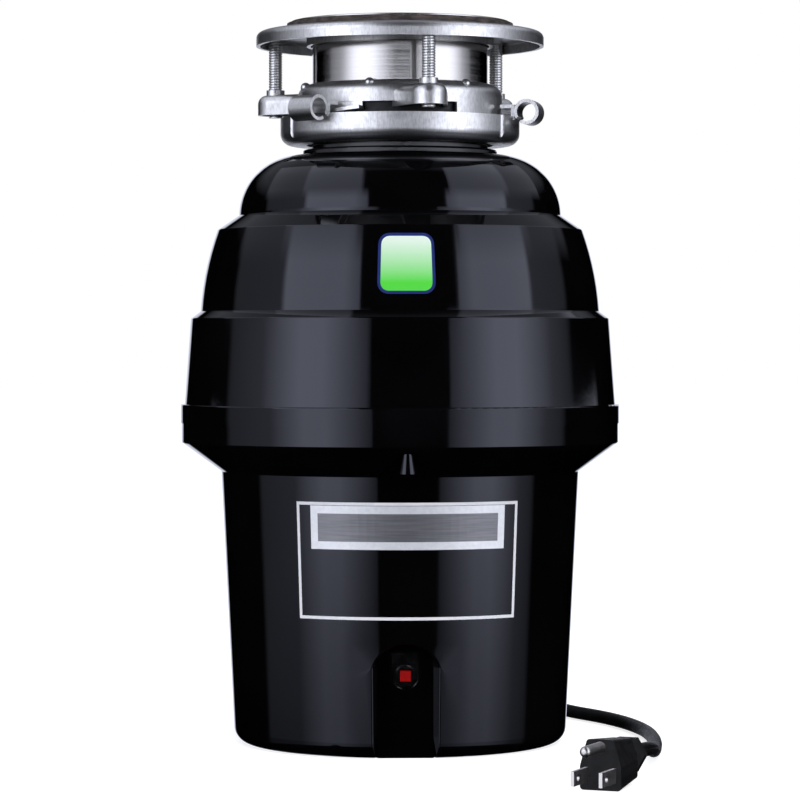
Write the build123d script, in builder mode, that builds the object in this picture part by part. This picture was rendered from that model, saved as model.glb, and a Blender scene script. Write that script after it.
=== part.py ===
import os
from math import asin, atan2, cos, degrees, pi, radians, sin, sqrt, tan
from build123d import *

os.makedirs("parts", exist_ok=True)

# clearances
slide_gap = 0.3
seat_gap = 0.2
run_gap = 0.05
fit_gap = 0.02

# sink flange, gasket and backup flange
sleeve_r = 42.0
sleeve_wall = 1.5
throat_r = sleeve_r - sleeve_wall
sleeve_bottom_z = 303.4
gasket_bottom_z = 339.3
gasket_t = 4.0
gasket_r = 54.2
rim_t = 0.8
rim_r = 52.8
rim_under_z = gasket_bottom_z + gasket_t
rim_top_z = rim_under_z + rim_t
bell_r = 3.6
gasket_hole_gap = 0.6
gasket_hole_r = sleeve_r + bell_r + gasket_hole_gap
sheet = 1.9
backup_r = 68.9
backup_skirt_h = 6.8
backup_bottom_z = gasket_bottom_z - backup_skirt_h
backup_corner_r = 3.0
backup_bend_r = 1.0
collar_gap = 0.9
collar_r = sleeve_r + collar_gap

# mounting screws
screw_circle_r = 63.5
screw_angles = (160.0, 280.0, 40.0)
screw_r = 3.25
screw_tip_r = 1.9
screw_tip_h = 1.6
screw_bottom_z = 299.6
screw_slot_w = 1.2
screw_slot_d = 1.6

# upper mounting ring
ring_top_z = 314.0
ring_skirt_r = 49.0
ring_shoulder_r = 6.0
ring_crest_r = ring_skirt_r - ring_shoulder_r
ring_shoulder_z = ring_top_z - ring_shoulder_r
ring_skirt_bottom_z = 303.5
ring_hem_r = sleeve_r + slide_gap
ear_w = 17.0
ear_root_w = 27.0
ear_top_z = 310.5
ear_bottom_z = 300.8
ear_fillet = 4.2
ear_collar_r = 4.4
ear_collar_h = 2.5
dimple_r = 2.4
dimple_circle_r = 46.0
dimple_z = 312.3
dimple_offset_deg = 30.0
deep_skirt_bottom_z = 298.3
deep_from_deg = -44.0
deep_to_deg = -7.0
ramp_from_deg = -8.0
ramp_to_deg = 22.0
ramp_low_z = 298.2
ramp_rise = 2.4
ramp_r = 53.2
ramp_t = 1.6
ramp_web_h = 6.0
ramp_inset = 0.4

# snap ring in its groove on the sleeve
groove_depth = 0.7
groove_r = sleeve_r - groove_depth
snap_wire_r = 1.1
snap_mid_z = 310.8
groove_z = snap_mid_z - snap_wire_r - seat_gap
groove_top_z = snap_mid_z + snap_wire_r + seat_gap
snap_mid_r = groove_r + snap_wire_r + run_gap
snap_split_deg = 14.0

# lower mounting ring with hooks and curled loops
lower_ring_r = 57.3
lower_ring_sheet = 1.7
lower_ring_bottom_z = 285.1
lower_ring_top_z = 298.0
lower_ring_corner_r = 5.5
lower_ring_hole_r = 44.6
loop_angles = (-15.0, -135.0, 105.0)
loop_r = 6.0
loop_sheet = 1.5
loop_len = 14.5
loop_z = 300.2
loop_bite = 0.3
loop_mid_r = lower_ring_r + loop_r - loop_bite
loop_gap = 2.2
loop_gap_deg = 45.0
dent_r = 2.0
dent_depth = 1.0
dent_offset_deg = -20.0
dent_mid_r = lower_ring_r + dent_r - dent_depth
hook_in_r = 50.3
hook_z = 301.9
hook_t = 1.7

# hopper
neck_r = 42.2
neck_step_r = 46.6
neck_step_z = 282.8
neck_step_fillet = 1.0
neck_lip_r = 44.0
neck_lip_h = 3.0
neck_top_z = 293.5
neck_bore_r = 38.5
hopper_r = 66.0
hopper_wall = 3.5
hopper_bottom_z = 157.0
hopper_flange_r = 82.0
hopper_flange_t = 4.5
hopper_shoulder_z = 246.0
hopper_crown_z = 277.0
hopper_arc_r = 60.6
hopper_arc_z = 265.5
inlet_angle = 125.0
inlet_z = 258.0
inlet_r = 11.1
inlet_root_r = 12.0
inlet_step_r = 84.0
inlet_bore_r = 8.6
inlet_end_r = 103.0
inlet_bore_start_r = 69.0

# splash guard, also the mounting gasket
guard_bottom_z = lower_ring_bottom_z + lower_ring_sheet + slide_gap
guard_flange_r = 53.0
guard_flange_top_z = 291.4
guard_body_r = 45.9
guard_bore_r = 37.0
guard_slope_h = 1.6
petal_root_r = 38.4
petal_root_z = 301.0
petal_tip_r = 14.0
petal_tip_z = 291.5
petal_t = 2.2
petal_count = 8
petal_slit = 1.0
petal_slit_end_r = 33.0

# outer shells
wall = 2.6
seam_z = 152.4
tier3_bottom_r = 103.1
band_lip = 1.9
band_r = tier3_bottom_r + band_lip
band_top_z = 161.4
tier3_top_r = 100.1
tier3_top_z = 202.2
tier2_bottom_r = 95.5
tier2_bottom_z = 205.6
tier2_mid_r = 92.9
tier2_mid_z = 225.0
tier2_top_r = 87.4
tier2_top_z = 244.5
tier1_bottom_r = 77.1
tier1_bottom_z = 251.5
tier1_mid_r = 68.3
tier1_mid_z = 272.0
shell_hole_r = neck_step_r + slide_gap
shell_crown_z = 280.2
shell_edge_fillet = 0.7
cone_lift = 1.2
tongue_h = 4.0
tongue_t = 2.0
band_shadow = 0.4
lower_band_r = band_r - band_shadow
cone_top_z = 143.2
bucket_top_r = 85.6
bucket_top_z = 129.3
bucket_foot_r = 79.1
foot_fillet = 7.5
foot_in_r = 66.0
floor_z = 2.6
floor_t = 2.6
floor_top_z = floor_z + floor_t
vent_count = 16
vent_w = 3.2
vent_in_r = 47.0
vent_out_r = 60.0
rib_top_r = 2.1
rib_bottom_r = 4.25
rib_drop = 1.6
rib_top_z = cone_top_z - rib_drop
rib_bottom_z = 131.4
rib_set_in = 6.0
rib_y = lower_band_r - rib_set_in

# reset recess at the front foot
recess_w = 31.4
recess_spring_z = 41.6
recess_top_z = 53.3
recess_face_y = 82.0
recess_back_y = 69.2
recess_draft = 12.0
recess_skin = 2.4
recess_edge_r = 0.9
recess_ledge_z = 9.3
recess_ledge_y = 72.2
recess_ledge_edge_z = 1.6
slot_w = 12.8
button_z = 37.6
button_side = 5.1
button_gap = 0.3
collar_face_y = 70.6
protector_collar_r = 4.5
button_face_y = 71.8
button_len = 9.0
protector_w = 24.0
protector_depth = 8.0
protector_low_z = 24.0
protector_high_z = 50.0

# drain chamber
chamber_top_z = 156.0
chamber_flange_r = hopper_flange_r
chamber_flange_h = 6.0
chamber_r = 72.5
chamber_in_r = 67.0
chamber_base_z = 100.0
chamber_floor_z = 104.5
chamber_chamfer = 4.0
hub_r = 18.0
hub_bottom_z = 93.0
hub_top_z = 118.0
hub_top_r = 16.0
seal_seat_r = 11.0
seal_seat_z = 108.0
shaft_hole_r = 7.2
bearing_r = 14.0
bearing_w = 8.0
bearing_face = 2.4
bearing_groove = 0.5
bearing_seat_top_z = 102.0
port_z = 124.0
port_bore_r = 19.0
port_r = 23.0
port_face_y = 103.4
port_flange_t = 6.0
port_ear_x = 29.0
port_ear_r = 7.5
port_screw_r = 2.6
port_screw_depth = 5.0
port_gap = 1.5
gasket_sheet = 1.0
gasket_in_r = 71.8
bolt_angles = (45.0, 135.0, 225.0, 315.0)
chamber_bolt_circle_r = 77.0
chamber_bolt_r = 2.5
chamber_bolt_head_r = 4.6
chamber_bolt_head_h = 3.4
chamber_nut_r = 4.0

# shredder ring
shred_r = 62.2
shred_in_r = 59.8
shred_bottom_z = 140.0
shred_top_z = 172.0
shred_flange_r = 70.6
shred_flange_t = 3.0
shred_ledge_r = 71.0
shred_teeth = 30
shred_tooth_w = 4.4
shred_tooth_h = 9.0

# motor shaft and turntable
shaft_r = 6.0
shaft_bottom_z = 9.6
shaft_shoulder_z = 149.0
stud_r = 5.0
stud_top_z = 162.0
plate_r = 58.4
plate_t = 2.5
plate_top_z = shaft_shoulder_z + plate_t
plate_rim_h = 2.2
plate_rim_t = 2.0
nut_flats = 17.0
nut_h = 7.5
lug_circle_r = 35.0
lug_pin_r = 4.0
lug_pin_head_r = 6.4
lug_pin_head_h = 2.2
lug_eye_r = 9.0
lug_reach = 15.0
lug_tip_r = 6.0
lug_base_t = 3.2
lug_height = 13.0
lug_wall_start = 8.6
vane_count = 4
vane_w = 3.0
vane_len = 16.0
vane_h = 8.0
vane_mid_r = 45.0

# motor
can_r = 56.0
can_wall = 2.4
can_bottom_z = 18.0
magnet_in_r = 47.6
magnet_span_deg = 136.0
magnet_bottom_z = 38.0
magnet_top_z = 86.0
core_r = 46.6
core_bottom_z = 42.0
core_top_z = 82.0
core_slots = 12
core_slot_w = 9.0
core_slot_in_r = 24.0
core_slot_out_r = 41.0
core_mouth_w = 2.5
winding_t = 8.0
winding_in_r = 22.0
winding_out_r = 42.0
winding_fillet = 3.4
slot_fill_gap = 0.4
commutator_r = 16.0
commutator_bottom_z = 21.5
commutator_top_z = 32.5
bell_floor_z = 8.0
bell_floor_t = 3.0
bell_ledge_r = 66.5
bell_top_z = can_bottom_z
bell_in_r = 52.0
bell_foot_r = 5.0
bell_foot_circle_r = 40.0
bell_shaft_r = 7.2
bell_pocket_z = 9.0
bell_hub_r = 18.0
lower_bearing_z = 11.0
motor_bolt_circle_r = 61.0
motor_bolt_r = 2.0
motor_bolt_head_r = 3.8
motor_bolt_head_h = 2.4
motor_bolt_hole_z = 103.0
holder_len = 19.0
holder_w = 11.0
holder_h = 9.4
holder_start_r = 17.6
brush_w = 7.6
brush_h = 6.4
brush_len = 12.0
brush_face_r = commutator_r + slide_gap
brush_z = 27.0
spring_r = 2.6
holder_wall_t = 1.6
spring_wall = 1.0
rectifier_x = 57.2
rectifier_t = 7.6
rectifier_w = 21.0
rectifier_h = 22.0

# shell screws and wiring cover under the floor
shell_screw_r = 2.0
shell_screw_head_r = 3.7
shell_screw_head_h = 1.8
shell_screw_len = 7.4
cover_w = 46.0
cover_d = 30.0
cover_t = 1.4
cover_y = 22.0
cover_corner_r = 4.0
cover_screw_x = 18.0
cover_screw_r = 1.7
cover_screw_head_r = 3.0
cover_screw_head_h = 0.9

# cord, strain relief, coil and plug
cord_r = 3.2
exit_angle = 115.0
exit_z = 16.0
relief_flange_r = 8.6
relief_flange_t = 2.2
relief_neck_r = 5.8
relief_root_r = 5.6
relief_tip_r = 4.2
relief_len = 22.0
relief_lock_r = 7.6
relief_lock_t = 2.0
relief_gap = 0.2
relief_seat = 0.5
relief_lock_seat = 0.9
coil_x = -16.0
coil_y = 166.0
coil_z = 4.8
coil_out_r = 38.0
coil_pitch = 7.2
coil_rise = 7.1
coil_start_deg = 180.0
coil_end_turn = 855.0
coil_spans = 10
coil_climb_from = 360.0
coil_climb_to = 540.0
coil_stub = 6.4
tie_t = 0.9
tie_w = 9.0
tie_gap = 0.6
tie_turn = 270.0
tie_corner_r = 2.0
plug_x = 78.7
plug_y = -190.0
plug_dir_deg = 245.0
plug_half_w = 9.3
plug_low = 6.6
plug_side_h = 3.6
plug_top_h = 15.2
plug_top_half_w = 6.0
plug_len = 27.0
plug_rear_scale = 0.8
plug_corner_r = 1.6
plug_neck_len = 6.0
plug_neck_r = 5.0
plug_collar_len = 4.0
plug_collar_r = 8.6
plug_tail_len = 5.0
plug_tail_r = 4.4
plug_axis_h = 5.0
lead_run = 24.0
tail_stub = 24.0
tail_run = 44.0
tail_bend_a = (84.0, 104.0)
tail_bend_b = (107.5, 62.0)
tail_bend_c = (119.0, 14.0)
tail_bend_d = (119.5, -34.0)
tail_bend_e = (113.5, -82.0)
bend_share = 0.45
coil_checks = 400
blade_w = 6.35
blade_t = 1.55
blade_len = 17.5
blade_pitch = 12.7
blade_hole_r = 1.55
blade_hole_in = 5.2
ground_r = 2.4
ground_len = 20.6
ground_up = 11.9
ground_tip_r = 1.9


def polar(r, deg, z=0.0):
    return (r * cos(radians(deg)), r * sin(radians(deg)), z)


def level(z, deg=0.0):
    return Plane(origin=(0, 0, z), x_dir=polar(1, deg), z_dir=(0, 0, 1))


def facing(r, deg, z):
    tangent = (-sin(radians(deg)), cos(radians(deg)), 0)
    return Plane(origin=polar(r, deg, z), x_dir=tangent, z_dir=polar(1, deg))


def upright(deg):
    return Plane(origin=(0, 0, 0), x_dir=polar(1, deg), z_dir=(sin(radians(deg)), -cos(radians(deg)), 0))


def rims(block, r, z):
    near = 0.01
    rings = block.edges().filter_by(GeomType.CIRCLE)
    return [e for e in rings if abs(e.radius - r) < near and abs(e.arc_center.Z - z) < near]


def sector(r_in, r_out, from_deg, to_deg):
    outer = CenterArc((0, 0), r_out, from_deg, to_deg - from_deg)
    inner = CenterArc((0, 0), r_in, from_deg, to_deg - from_deg)
    return [outer, inner, Line(inner @ 0, outer @ 0), Line(inner @ 1, outer @ 1)]


def save(block, name):
    block.part.label = name
    export_step(block.part, "parts/" + name + ".step")


# sink flange: stainless sleeve with a rolled rim and a groove for the snap ring
with BuildPart() as sink_flange:
    with BuildSketch(Plane.XZ):
        with BuildLine():
            Polyline(
                (throat_r, sleeve_bottom_z), (sleeve_r, sleeve_bottom_z), (sleeve_r, groove_z),
                (groove_r, groove_z), (groove_r, groove_top_z), (sleeve_r, groove_top_z),
                (sleeve_r, rim_under_z), (rim_r, rim_under_z), (rim_r, rim_top_z),
                (throat_r, rim_top_z), close=True)
        make_face()
    revolve(axis=Axis.Z)
    fillet(rims(sink_flange, sleeve_r, rim_under_z), bell_r)
    fillet(rims(sink_flange, throat_r, rim_top_z), bell_r + sleeve_wall)
    fillet(rims(sink_flange, rim_r, rim_top_z), rim_t / 2)
save(sink_flange, "sink_flange")

# fibre gasket under the rim
with BuildPart() as fibre_gasket:
    with BuildSketch(level(gasket_bottom_z)):
        Circle(gasket_r)
        Circle(gasket_hole_r, mode=Mode.SUBTRACT)
    extrude(amount=gasket_t)
save(fibre_gasket, "fibre_gasket")

# backup flange: pressed steel channel ring
with BuildPart() as backup_flange:
    with BuildSketch(Plane.XZ):
        with BuildLine():
            Polyline(
                (collar_r, backup_bottom_z), (collar_r + sheet, backup_bottom_z),
                (collar_r + sheet, gasket_bottom_z - sheet), (backup_r - sheet, gasket_bottom_z - sheet),
                (backup_r - sheet, backup_bottom_z), (backup_r, backup_bottom_z),
                (backup_r, gasket_bottom_z), (collar_r, gasket_bottom_z), close=True)
        make_face()
    revolve(axis=Axis.Z)
    fillet(rims(backup_flange, backup_r, gasket_bottom_z), backup_corner_r)
    fillet(rims(backup_flange, backup_r - sheet, gasket_bottom_z - sheet), backup_bend_r)
    fillet(rims(backup_flange, collar_r + sheet, gasket_bottom_z - sheet), backup_bend_r)
    fillet(rims(backup_flange, collar_r, gasket_bottom_z), backup_bend_r + sheet / 2)
save(backup_flange, "backup_flange")

# three mounting screws with slotted feet, their tips under the backup flange
with BuildPart() as mounting_screws:
    for angle in screw_angles:
        foot = Plane(origin=polar(screw_circle_r, angle, screw_bottom_z), x_dir=polar(1, angle))
        top_z = gasket_bottom_z - sheet
        with BuildSketch(foot):
            Circle(screw_r)
        extrude(amount=top_z - screw_tip_h - screw_bottom_z)
        with BuildSketch(foot.offset(top_z - screw_tip_h - screw_bottom_z)):
            Circle(screw_tip_r)
        extrude(amount=screw_tip_h)
        with BuildSketch(foot):
            Rectangle(4 * screw_r, screw_slot_w)
        extrude(amount=screw_slot_d, mode=Mode.SUBTRACT)
save(mounting_screws, "mounting_screws")

# upper mounting ring: pressed ring with three domed ears, three ramps and six dimples
with BuildPart() as upper_mount_ring:
    for angle in screw_angles:
        with BuildSketch(level(ear_bottom_z, angle)):
            with Locations((screw_circle_r / 2, 0)):
                SlotCenterToCenter(screw_circle_r, ear_w)
            with Locations((ring_crest_r, 0)):
                Circle(ear_root_w / 2)
            make_hull()
        extrude(amount=ear_top_z - ear_bottom_z)
    fillet(upper_mount_ring.faces().sort_by(Axis.Z)[-1].outer_wire().edges(), ear_fillet)
    for angle in screw_angles:
        with BuildSketch(level(ear_bottom_z, angle)):
            with Locations((screw_circle_r / 2, 0)):
                SlotCenterToCenter(screw_circle_r, ear_w - 2 * sheet)
            with Locations((ring_crest_r, 0)):
                Circle(ear_root_w / 2 - sheet)
            make_hull()
        extrude(amount=ear_top_z - ear_bottom_z - sheet, mode=Mode.SUBTRACT)
        with BuildSketch(Plane(origin=polar(screw_circle_r, angle, ear_top_z - sheet))):
            Circle(ear_collar_r)
        extrude(amount=sheet + ear_collar_h)
        with BuildSketch(Plane(origin=polar(screw_circle_r, angle, ear_bottom_z))):
            Circle(screw_r + run_gap)
        extrude(amount=ring_top_z - ear_bottom_z, mode=Mode.SUBTRACT)
    with BuildSketch(level(ear_bottom_z)):
        Circle(ring_skirt_r - sheet)
    extrude(amount=ring_top_z - ear_bottom_z, mode=Mode.SUBTRACT)
    with BuildSketch(Plane.XZ):
        with BuildLine():
            Polyline(
                (ring_crest_r, ring_top_z - sheet), (ring_hem_r, ring_top_z - sheet),
                (ring_hem_r, ring_top_z), (ring_crest_r, ring_top_z))
            CenterArc((ring_crest_r, ring_shoulder_z), ring_shoulder_r, 0, 90)
            Polyline(
                (ring_skirt_r, ring_shoulder_z), (ring_skirt_r, ring_skirt_bottom_z),
                (ring_skirt_r - sheet, ring_skirt_bottom_z), (ring_skirt_r - sheet, ring_shoulder_z))
            CenterArc((ring_crest_r, ring_shoulder_z), ring_shoulder_r - sheet, 0, 90)
        make_face()
    revolve(axis=Axis.Z)
    for angle in screw_angles:
        for side in (-dimple_offset_deg, dimple_offset_deg):
            with Locations(polar(dimple_circle_r, angle + side, dimple_z)):
                Sphere(dimple_r)
    for angle in loop_angles:
        deep = sector(ring_skirt_r - sheet, ring_skirt_r, angle + deep_from_deg, angle + deep_to_deg)
        with BuildSketch(level(deep_skirt_bottom_z)):
            make_face(deep)
        extrude(amount=ring_skirt_bottom_z - deep_skirt_bottom_z + sheet)
        mid = angle + (ramp_from_deg + ramp_to_deg) / 2
        half = (ramp_to_deg - ramp_from_deg) / 2
        tilt = asin(ramp_rise / (2 * ring_skirt_r * sin(radians(half))))
        normal = (sin(tilt) * sin(radians(mid)), -sin(tilt) * cos(radians(mid)), cos(tilt))
        ramp = Plane(origin=(0, 0, ramp_low_z + ramp_rise / 2), x_dir=polar(1, mid), z_dir=normal)
        tread = sector(ring_skirt_r - sheet + ramp_inset, ramp_r, -half, half)
        web = sector(ring_skirt_r - sheet + ramp_inset, ring_skirt_r - ramp_inset, -half, half)
        with BuildSketch(ramp):
            make_face(tread)
        extrude(amount=ramp_t / 2, both=True)
        with BuildSketch(ramp):
            make_face(web)
        extrude(amount=ramp_web_h)
save(upper_mount_ring, "upper_mount_ring")

# snap ring: split wire ring that carries the upper ring on the sleeve
with BuildPart() as snap_ring:
    with BuildSketch(Plane.XZ):
        with Locations((snap_mid_r, snap_mid_z)):
            Circle(snap_wire_r)
    revolve(axis=Axis.Z, revolution_arc=360 - snap_split_deg)
save(snap_ring, "snap_ring")

# lower mounting ring: rolled ring with three hooks and three curled loops
with BuildPart() as lower_mount_ring:
    with BuildSketch(Plane.XZ):
        with BuildLine():
            Polyline(
                (lower_ring_hole_r, lower_ring_bottom_z), (lower_ring_r, lower_ring_bottom_z),
                (lower_ring_r, lower_ring_top_z), (lower_ring_r - lower_ring_sheet, lower_ring_top_z),
                (lower_ring_r - lower_ring_sheet, lower_ring_bottom_z + lower_ring_sheet),
                (lower_ring_hole_r, lower_ring_bottom_z + lower_ring_sheet), close=True)
        make_face()
    revolve(axis=Axis.Z)
    fillet(rims(lower_mount_ring, lower_ring_r, lower_ring_bottom_z), lower_ring_corner_r)
    inner_bottom = lower_ring_bottom_z + lower_ring_sheet
    fillet(rims(lower_mount_ring, lower_ring_r - lower_ring_sheet, inner_bottom),
           lower_ring_corner_r - lower_ring_sheet)
    for angle in loop_angles:
        with BuildSketch(Plane(origin=polar(dent_mid_r, angle + dent_offset_deg, lower_ring_bottom_z))):
            Circle(dent_r)
        extrude(amount=lower_ring_top_z - lower_ring_bottom_z, mode=Mode.SUBTRACT)
        with BuildSketch(upright(angle)):
            with Locations((lower_ring_r - lower_ring_sheet, lower_ring_top_z - lower_ring_sheet)):
                Rectangle(lower_ring_sheet, hook_z + hook_t - lower_ring_top_z + lower_ring_sheet,
                          align=(Align.MIN, Align.MIN))
            with Locations((hook_in_r, hook_z)):
                Rectangle(lower_ring_r - hook_in_r, hook_t, align=(Align.MIN, Align.MIN))
            with Locations((loop_mid_r, loop_z)):
                Circle(loop_r)
                Circle(loop_r - loop_sheet, mode=Mode.SUBTRACT)
            with Locations((loop_mid_r - loop_r * cos(radians(loop_gap_deg)),
                            loop_z - loop_r * sin(radians(loop_gap_deg)))):
                Rectangle(loop_gap, 3 * loop_sheet, rotation=-loop_gap_deg, mode=Mode.SUBTRACT)
        extrude(amount=loop_len / 2, both=True)
save(lower_mount_ring, "lower_mount_ring")

# splash guard: rubber gasket gripping the hopper neck, with slit petals in its throat
with BuildPart() as splash_guard:
    lip_z = neck_top_z - neck_lip_h
    with BuildSketch(Plane.XZ):
        with BuildLine():
            Polyline(
                (neck_r, guard_bottom_z), (guard_flange_r, guard_bottom_z),
                (guard_flange_r, guard_flange_top_z), (guard_body_r, guard_flange_top_z + guard_slope_h),
                (guard_body_r, sleeve_bottom_z), (guard_bore_r, sleeve_bottom_z),
                (guard_bore_r, neck_top_z), (neck_lip_r, neck_top_z), (neck_lip_r, lip_z),
                (neck_r, lip_z), close=True)
        make_face()
    revolve(axis=Axis.Z)
    with BuildSketch(Plane.XZ):
        with BuildLine():
            Polyline(
                (petal_root_r, petal_root_z - petal_t), (petal_root_r, petal_root_z),
                (petal_tip_r, petal_tip_z), (petal_tip_r, petal_tip_z - petal_t), close=True)
        make_face()
    revolve(axis=Axis.Z)
    for n in range(petal_count):
        with BuildSketch(level(petal_tip_z - 2 * petal_t, n * 360 / petal_count)):
            with Locations(((petal_slit_end_r + petal_tip_r) / 2, 0)):
                SlotOverall(petal_slit_end_r - petal_tip_r + 2 * petal_slit, petal_slit)
        extrude(amount=petal_root_z - petal_tip_z + 2 * petal_t, mode=Mode.SUBTRACT)
save(splash_guard, "splash_guard")

# upper shell: thin glossy moulding in three tiers with a band at its foot
with BuildPart() as upper_shell:
    with BuildSketch(Plane.XZ):
        with BuildLine():
            Polyline(
                (band_r, seam_z), (band_r, band_top_z), (tier3_bottom_r, band_top_z),
                (tier3_top_r, tier3_top_z), (tier2_bottom_r, tier2_bottom_z))
            ThreePointArc((tier2_bottom_r, tier2_bottom_z), (tier2_mid_r, tier2_mid_z),
                          (tier2_top_r, tier2_top_z))
            Line((tier2_top_r, tier2_top_z), (tier1_bottom_r, tier1_bottom_z))
            ThreePointArc((tier1_bottom_r, tier1_bottom_z), (tier1_mid_r, tier1_mid_z),
                          (shell_hole_r, shell_crown_z))
            offset(amount=wall, side=Side.LEFT)
        make_face()
    revolve(axis=Axis.Z)
    fillet(rims(upper_shell, band_r, band_top_z), shell_edge_fillet)
    fillet(rims(upper_shell, tier3_top_r, tier3_top_z), shell_edge_fillet)
    fillet(rims(upper_shell, tier2_top_r, tier2_top_z), shell_edge_fillet)
    tongue_r = lower_band_r - wall - slide_gap
    with BuildSketch(Plane.XZ):
        with BuildLine():
            Polyline(
                (tongue_r - tongue_t, seam_z - tongue_h), (tongue_r, seam_z - tongue_h),
                (tongue_r, seam_z), (band_r - wall + slide_gap, seam_z),
                (band_r - wall + slide_gap, seam_z + tongue_h), (tongue_r - tongue_t, seam_z + tongue_h),
                close=True)
        make_face()
    revolve(axis=Axis.Z)
    with BuildSketch(facing(0, inlet_angle, inlet_z)):
        Circle(inlet_root_r + port_gap / 2)
    extrude(amount=inlet_end_r, mode=Mode.SUBTRACT)
save(upper_shell, "upper_shell")

# inside of the lower shell, with the back of the reset recess standing in it
with BuildPart() as bucket_inside:
    with BuildSketch(Plane.XZ):
        with BuildLine():
            Polyline(
                (0, floor_top_z), (bucket_foot_r - wall, floor_top_z),
                (bucket_top_r - wall, bucket_top_z + cone_lift),
                (lower_band_r - wall, cone_top_z + cone_lift),
                (lower_band_r - wall, seam_z + wall), (0, seam_z + wall), close=True)
        make_face()
    revolve(axis=Axis.Z)
    with BuildSketch(Plane.XZ.offset(recess_back_y - recess_skin)):
        with BuildLine():
            half_w = recess_w / 2 + recess_skin
            half_back = half_w - (recess_face_y - recess_back_y + recess_skin) * tan(radians(recess_draft))
            drop = half_w - half_back
            Polyline((-half_back, recess_spring_z), (-half_back, 0), (half_back, 0),
                     (half_back, recess_spring_z))
            ThreePointArc((half_back, recess_spring_z), (0, recess_top_z + recess_skin - drop),
                          (-half_back, recess_spring_z))
        make_face()
    extrude(amount=recess_face_y, taper=-recess_draft, mode=Mode.SUBTRACT)

# lower shell: bucket with a cone up to the band, foot ring, vents, port and cord openings
with BuildPart() as lower_shell:
    with BuildSketch(Plane.XZ):
        with BuildLine():
            Polyline(
                (0, 0), (bucket_foot_r, 0), (bucket_top_r, bucket_top_z), (lower_band_r, cone_top_z),
                (lower_band_r, seam_z), (0, seam_z), close=True)
        make_face()
    revolve(axis=Axis.Z)
    fillet(rims(lower_shell, bucket_foot_r, 0), foot_fillet)
    fillet(rims(lower_shell, lower_band_r, cone_top_z), shell_edge_fillet)
    with BuildSketch(Plane(origin=(0, -rib_y, rib_bottom_z))):
        Circle(rib_bottom_r)
    extrude(amount=rib_top_z - rib_bottom_z,
            taper=degrees(atan2(rib_bottom_r - rib_top_r, rib_top_z - rib_bottom_z)))
    with BuildSketch(Plane.XZ.offset(recess_back_y)):
        with BuildLine():
            half_back = recess_w / 2 - (recess_face_y - recess_back_y) * tan(radians(recess_draft))
            drop = recess_w / 2 - half_back
            Polyline((-half_back, recess_spring_z), (-half_back, -foot_fillet), (half_back, -foot_fillet),
                     (half_back, recess_spring_z))
            ThreePointArc((half_back, recess_spring_z), (0, recess_top_z - drop),
                          (-half_back, recess_spring_z))
        make_face()
    extrude(amount=recess_face_y, taper=-recess_draft, mode=Mode.SUBTRACT)
    low_edges = [e for e in lower_shell.edges() if e.bounding_box().max.Z < recess_top_z + wall]
    fillet([e for e in low_edges if e.bounding_box().max.Y < -recess_back_y - recess_edge_r / 2], recess_edge_r)
    with BuildSketch(Plane.YZ):
        with BuildLine():
            Polyline((-recess_back_y, 0), (-recess_ledge_y, 0), (-recess_ledge_y, recess_ledge_edge_z),
                     (-recess_back_y, recess_ledge_z), close=True)
        make_face()
    extrude(amount=half_back, both=True)
    add(bucket_inside.part, mode=Mode.SUBTRACT)
    with BuildSketch(Plane.XZ.offset(recess_back_y + recess_skin)):
        with Locations((0, button_z)):
            Circle(slot_w / 2)
            Rectangle(slot_w, recess_top_z - drop - button_z - recess_skin, align=(Align.CENTER, Align.MIN))
    extrude(amount=-3 * recess_skin, mode=Mode.SUBTRACT)
    with BuildSketch(level(0)):
        Circle(foot_in_r)
    extrude(amount=floor_z, mode=Mode.SUBTRACT)
    for n in range(vent_count):
        with BuildSketch(level(floor_z, (n + 0.5) * 360 / vent_count)):
            with Locations(((vent_in_r + vent_out_r) / 2, 0)):
                SlotOverall(vent_out_r - vent_in_r, vent_w)
        extrude(amount=floor_t, mode=Mode.SUBTRACT)
    for angle in bolt_angles:
        with BuildSketch(Plane(origin=polar(bell_foot_circle_r, angle, floor_z))):
            Circle(shell_screw_r + run_gap)
        extrude(amount=floor_t, mode=Mode.SUBTRACT)
    with BuildSketch(Plane(origin=(0, cover_y, floor_z))):
        RectangleRounded(2 * cover_screw_x - 3 * cover_screw_head_r, cover_d - 2 * cover_corner_r,
                         cover_corner_r / 2)
        with Locations((cover_screw_x, 0), (-cover_screw_x, 0)):
            Circle(cover_screw_r + run_gap)
    extrude(amount=floor_t, mode=Mode.SUBTRACT)
    with BuildSketch(facing(0, 90, port_z)):
        Circle(port_r + port_gap)
        with Locations((port_ear_x, 0), (-port_ear_x, 0)):
            Circle(port_ear_r + port_gap)
        make_hull()
    extrude(amount=2 * port_face_y, mode=Mode.SUBTRACT)
    with BuildSketch(facing(0, exit_angle, exit_z)):
        Circle(relief_neck_r + relief_gap)
    extrude(amount=2 * port_face_y, mode=Mode.SUBTRACT)
save(lower_shell, "lower_shell")

# wiring cover under the floor and its two screws
with BuildPart() as wiring_cover:
    with BuildSketch(Plane(origin=(0, cover_y, floor_z - cover_t))):
        RectangleRounded(cover_w, cover_d, cover_corner_r)
        with Locations((cover_screw_x, 0), (-cover_screw_x, 0)):
            Circle(cover_screw_r + run_gap, mode=Mode.SUBTRACT)
    extrude(amount=cover_t)
save(wiring_cover, "wiring_cover")

with BuildPart() as cover_screws:
    for x in (-cover_screw_x, cover_screw_x):
        with BuildSketch(Plane(origin=(x, cover_y, floor_z - cover_t))):
            Circle(cover_screw_head_r)
        extrude(amount=-cover_screw_head_h)
        with BuildSketch(Plane(origin=(x, cover_y, floor_z - cover_t))):
            Circle(cover_screw_r)
        extrude(amount=cover_t + floor_t)
save(cover_screws, "cover_screws")

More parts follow.
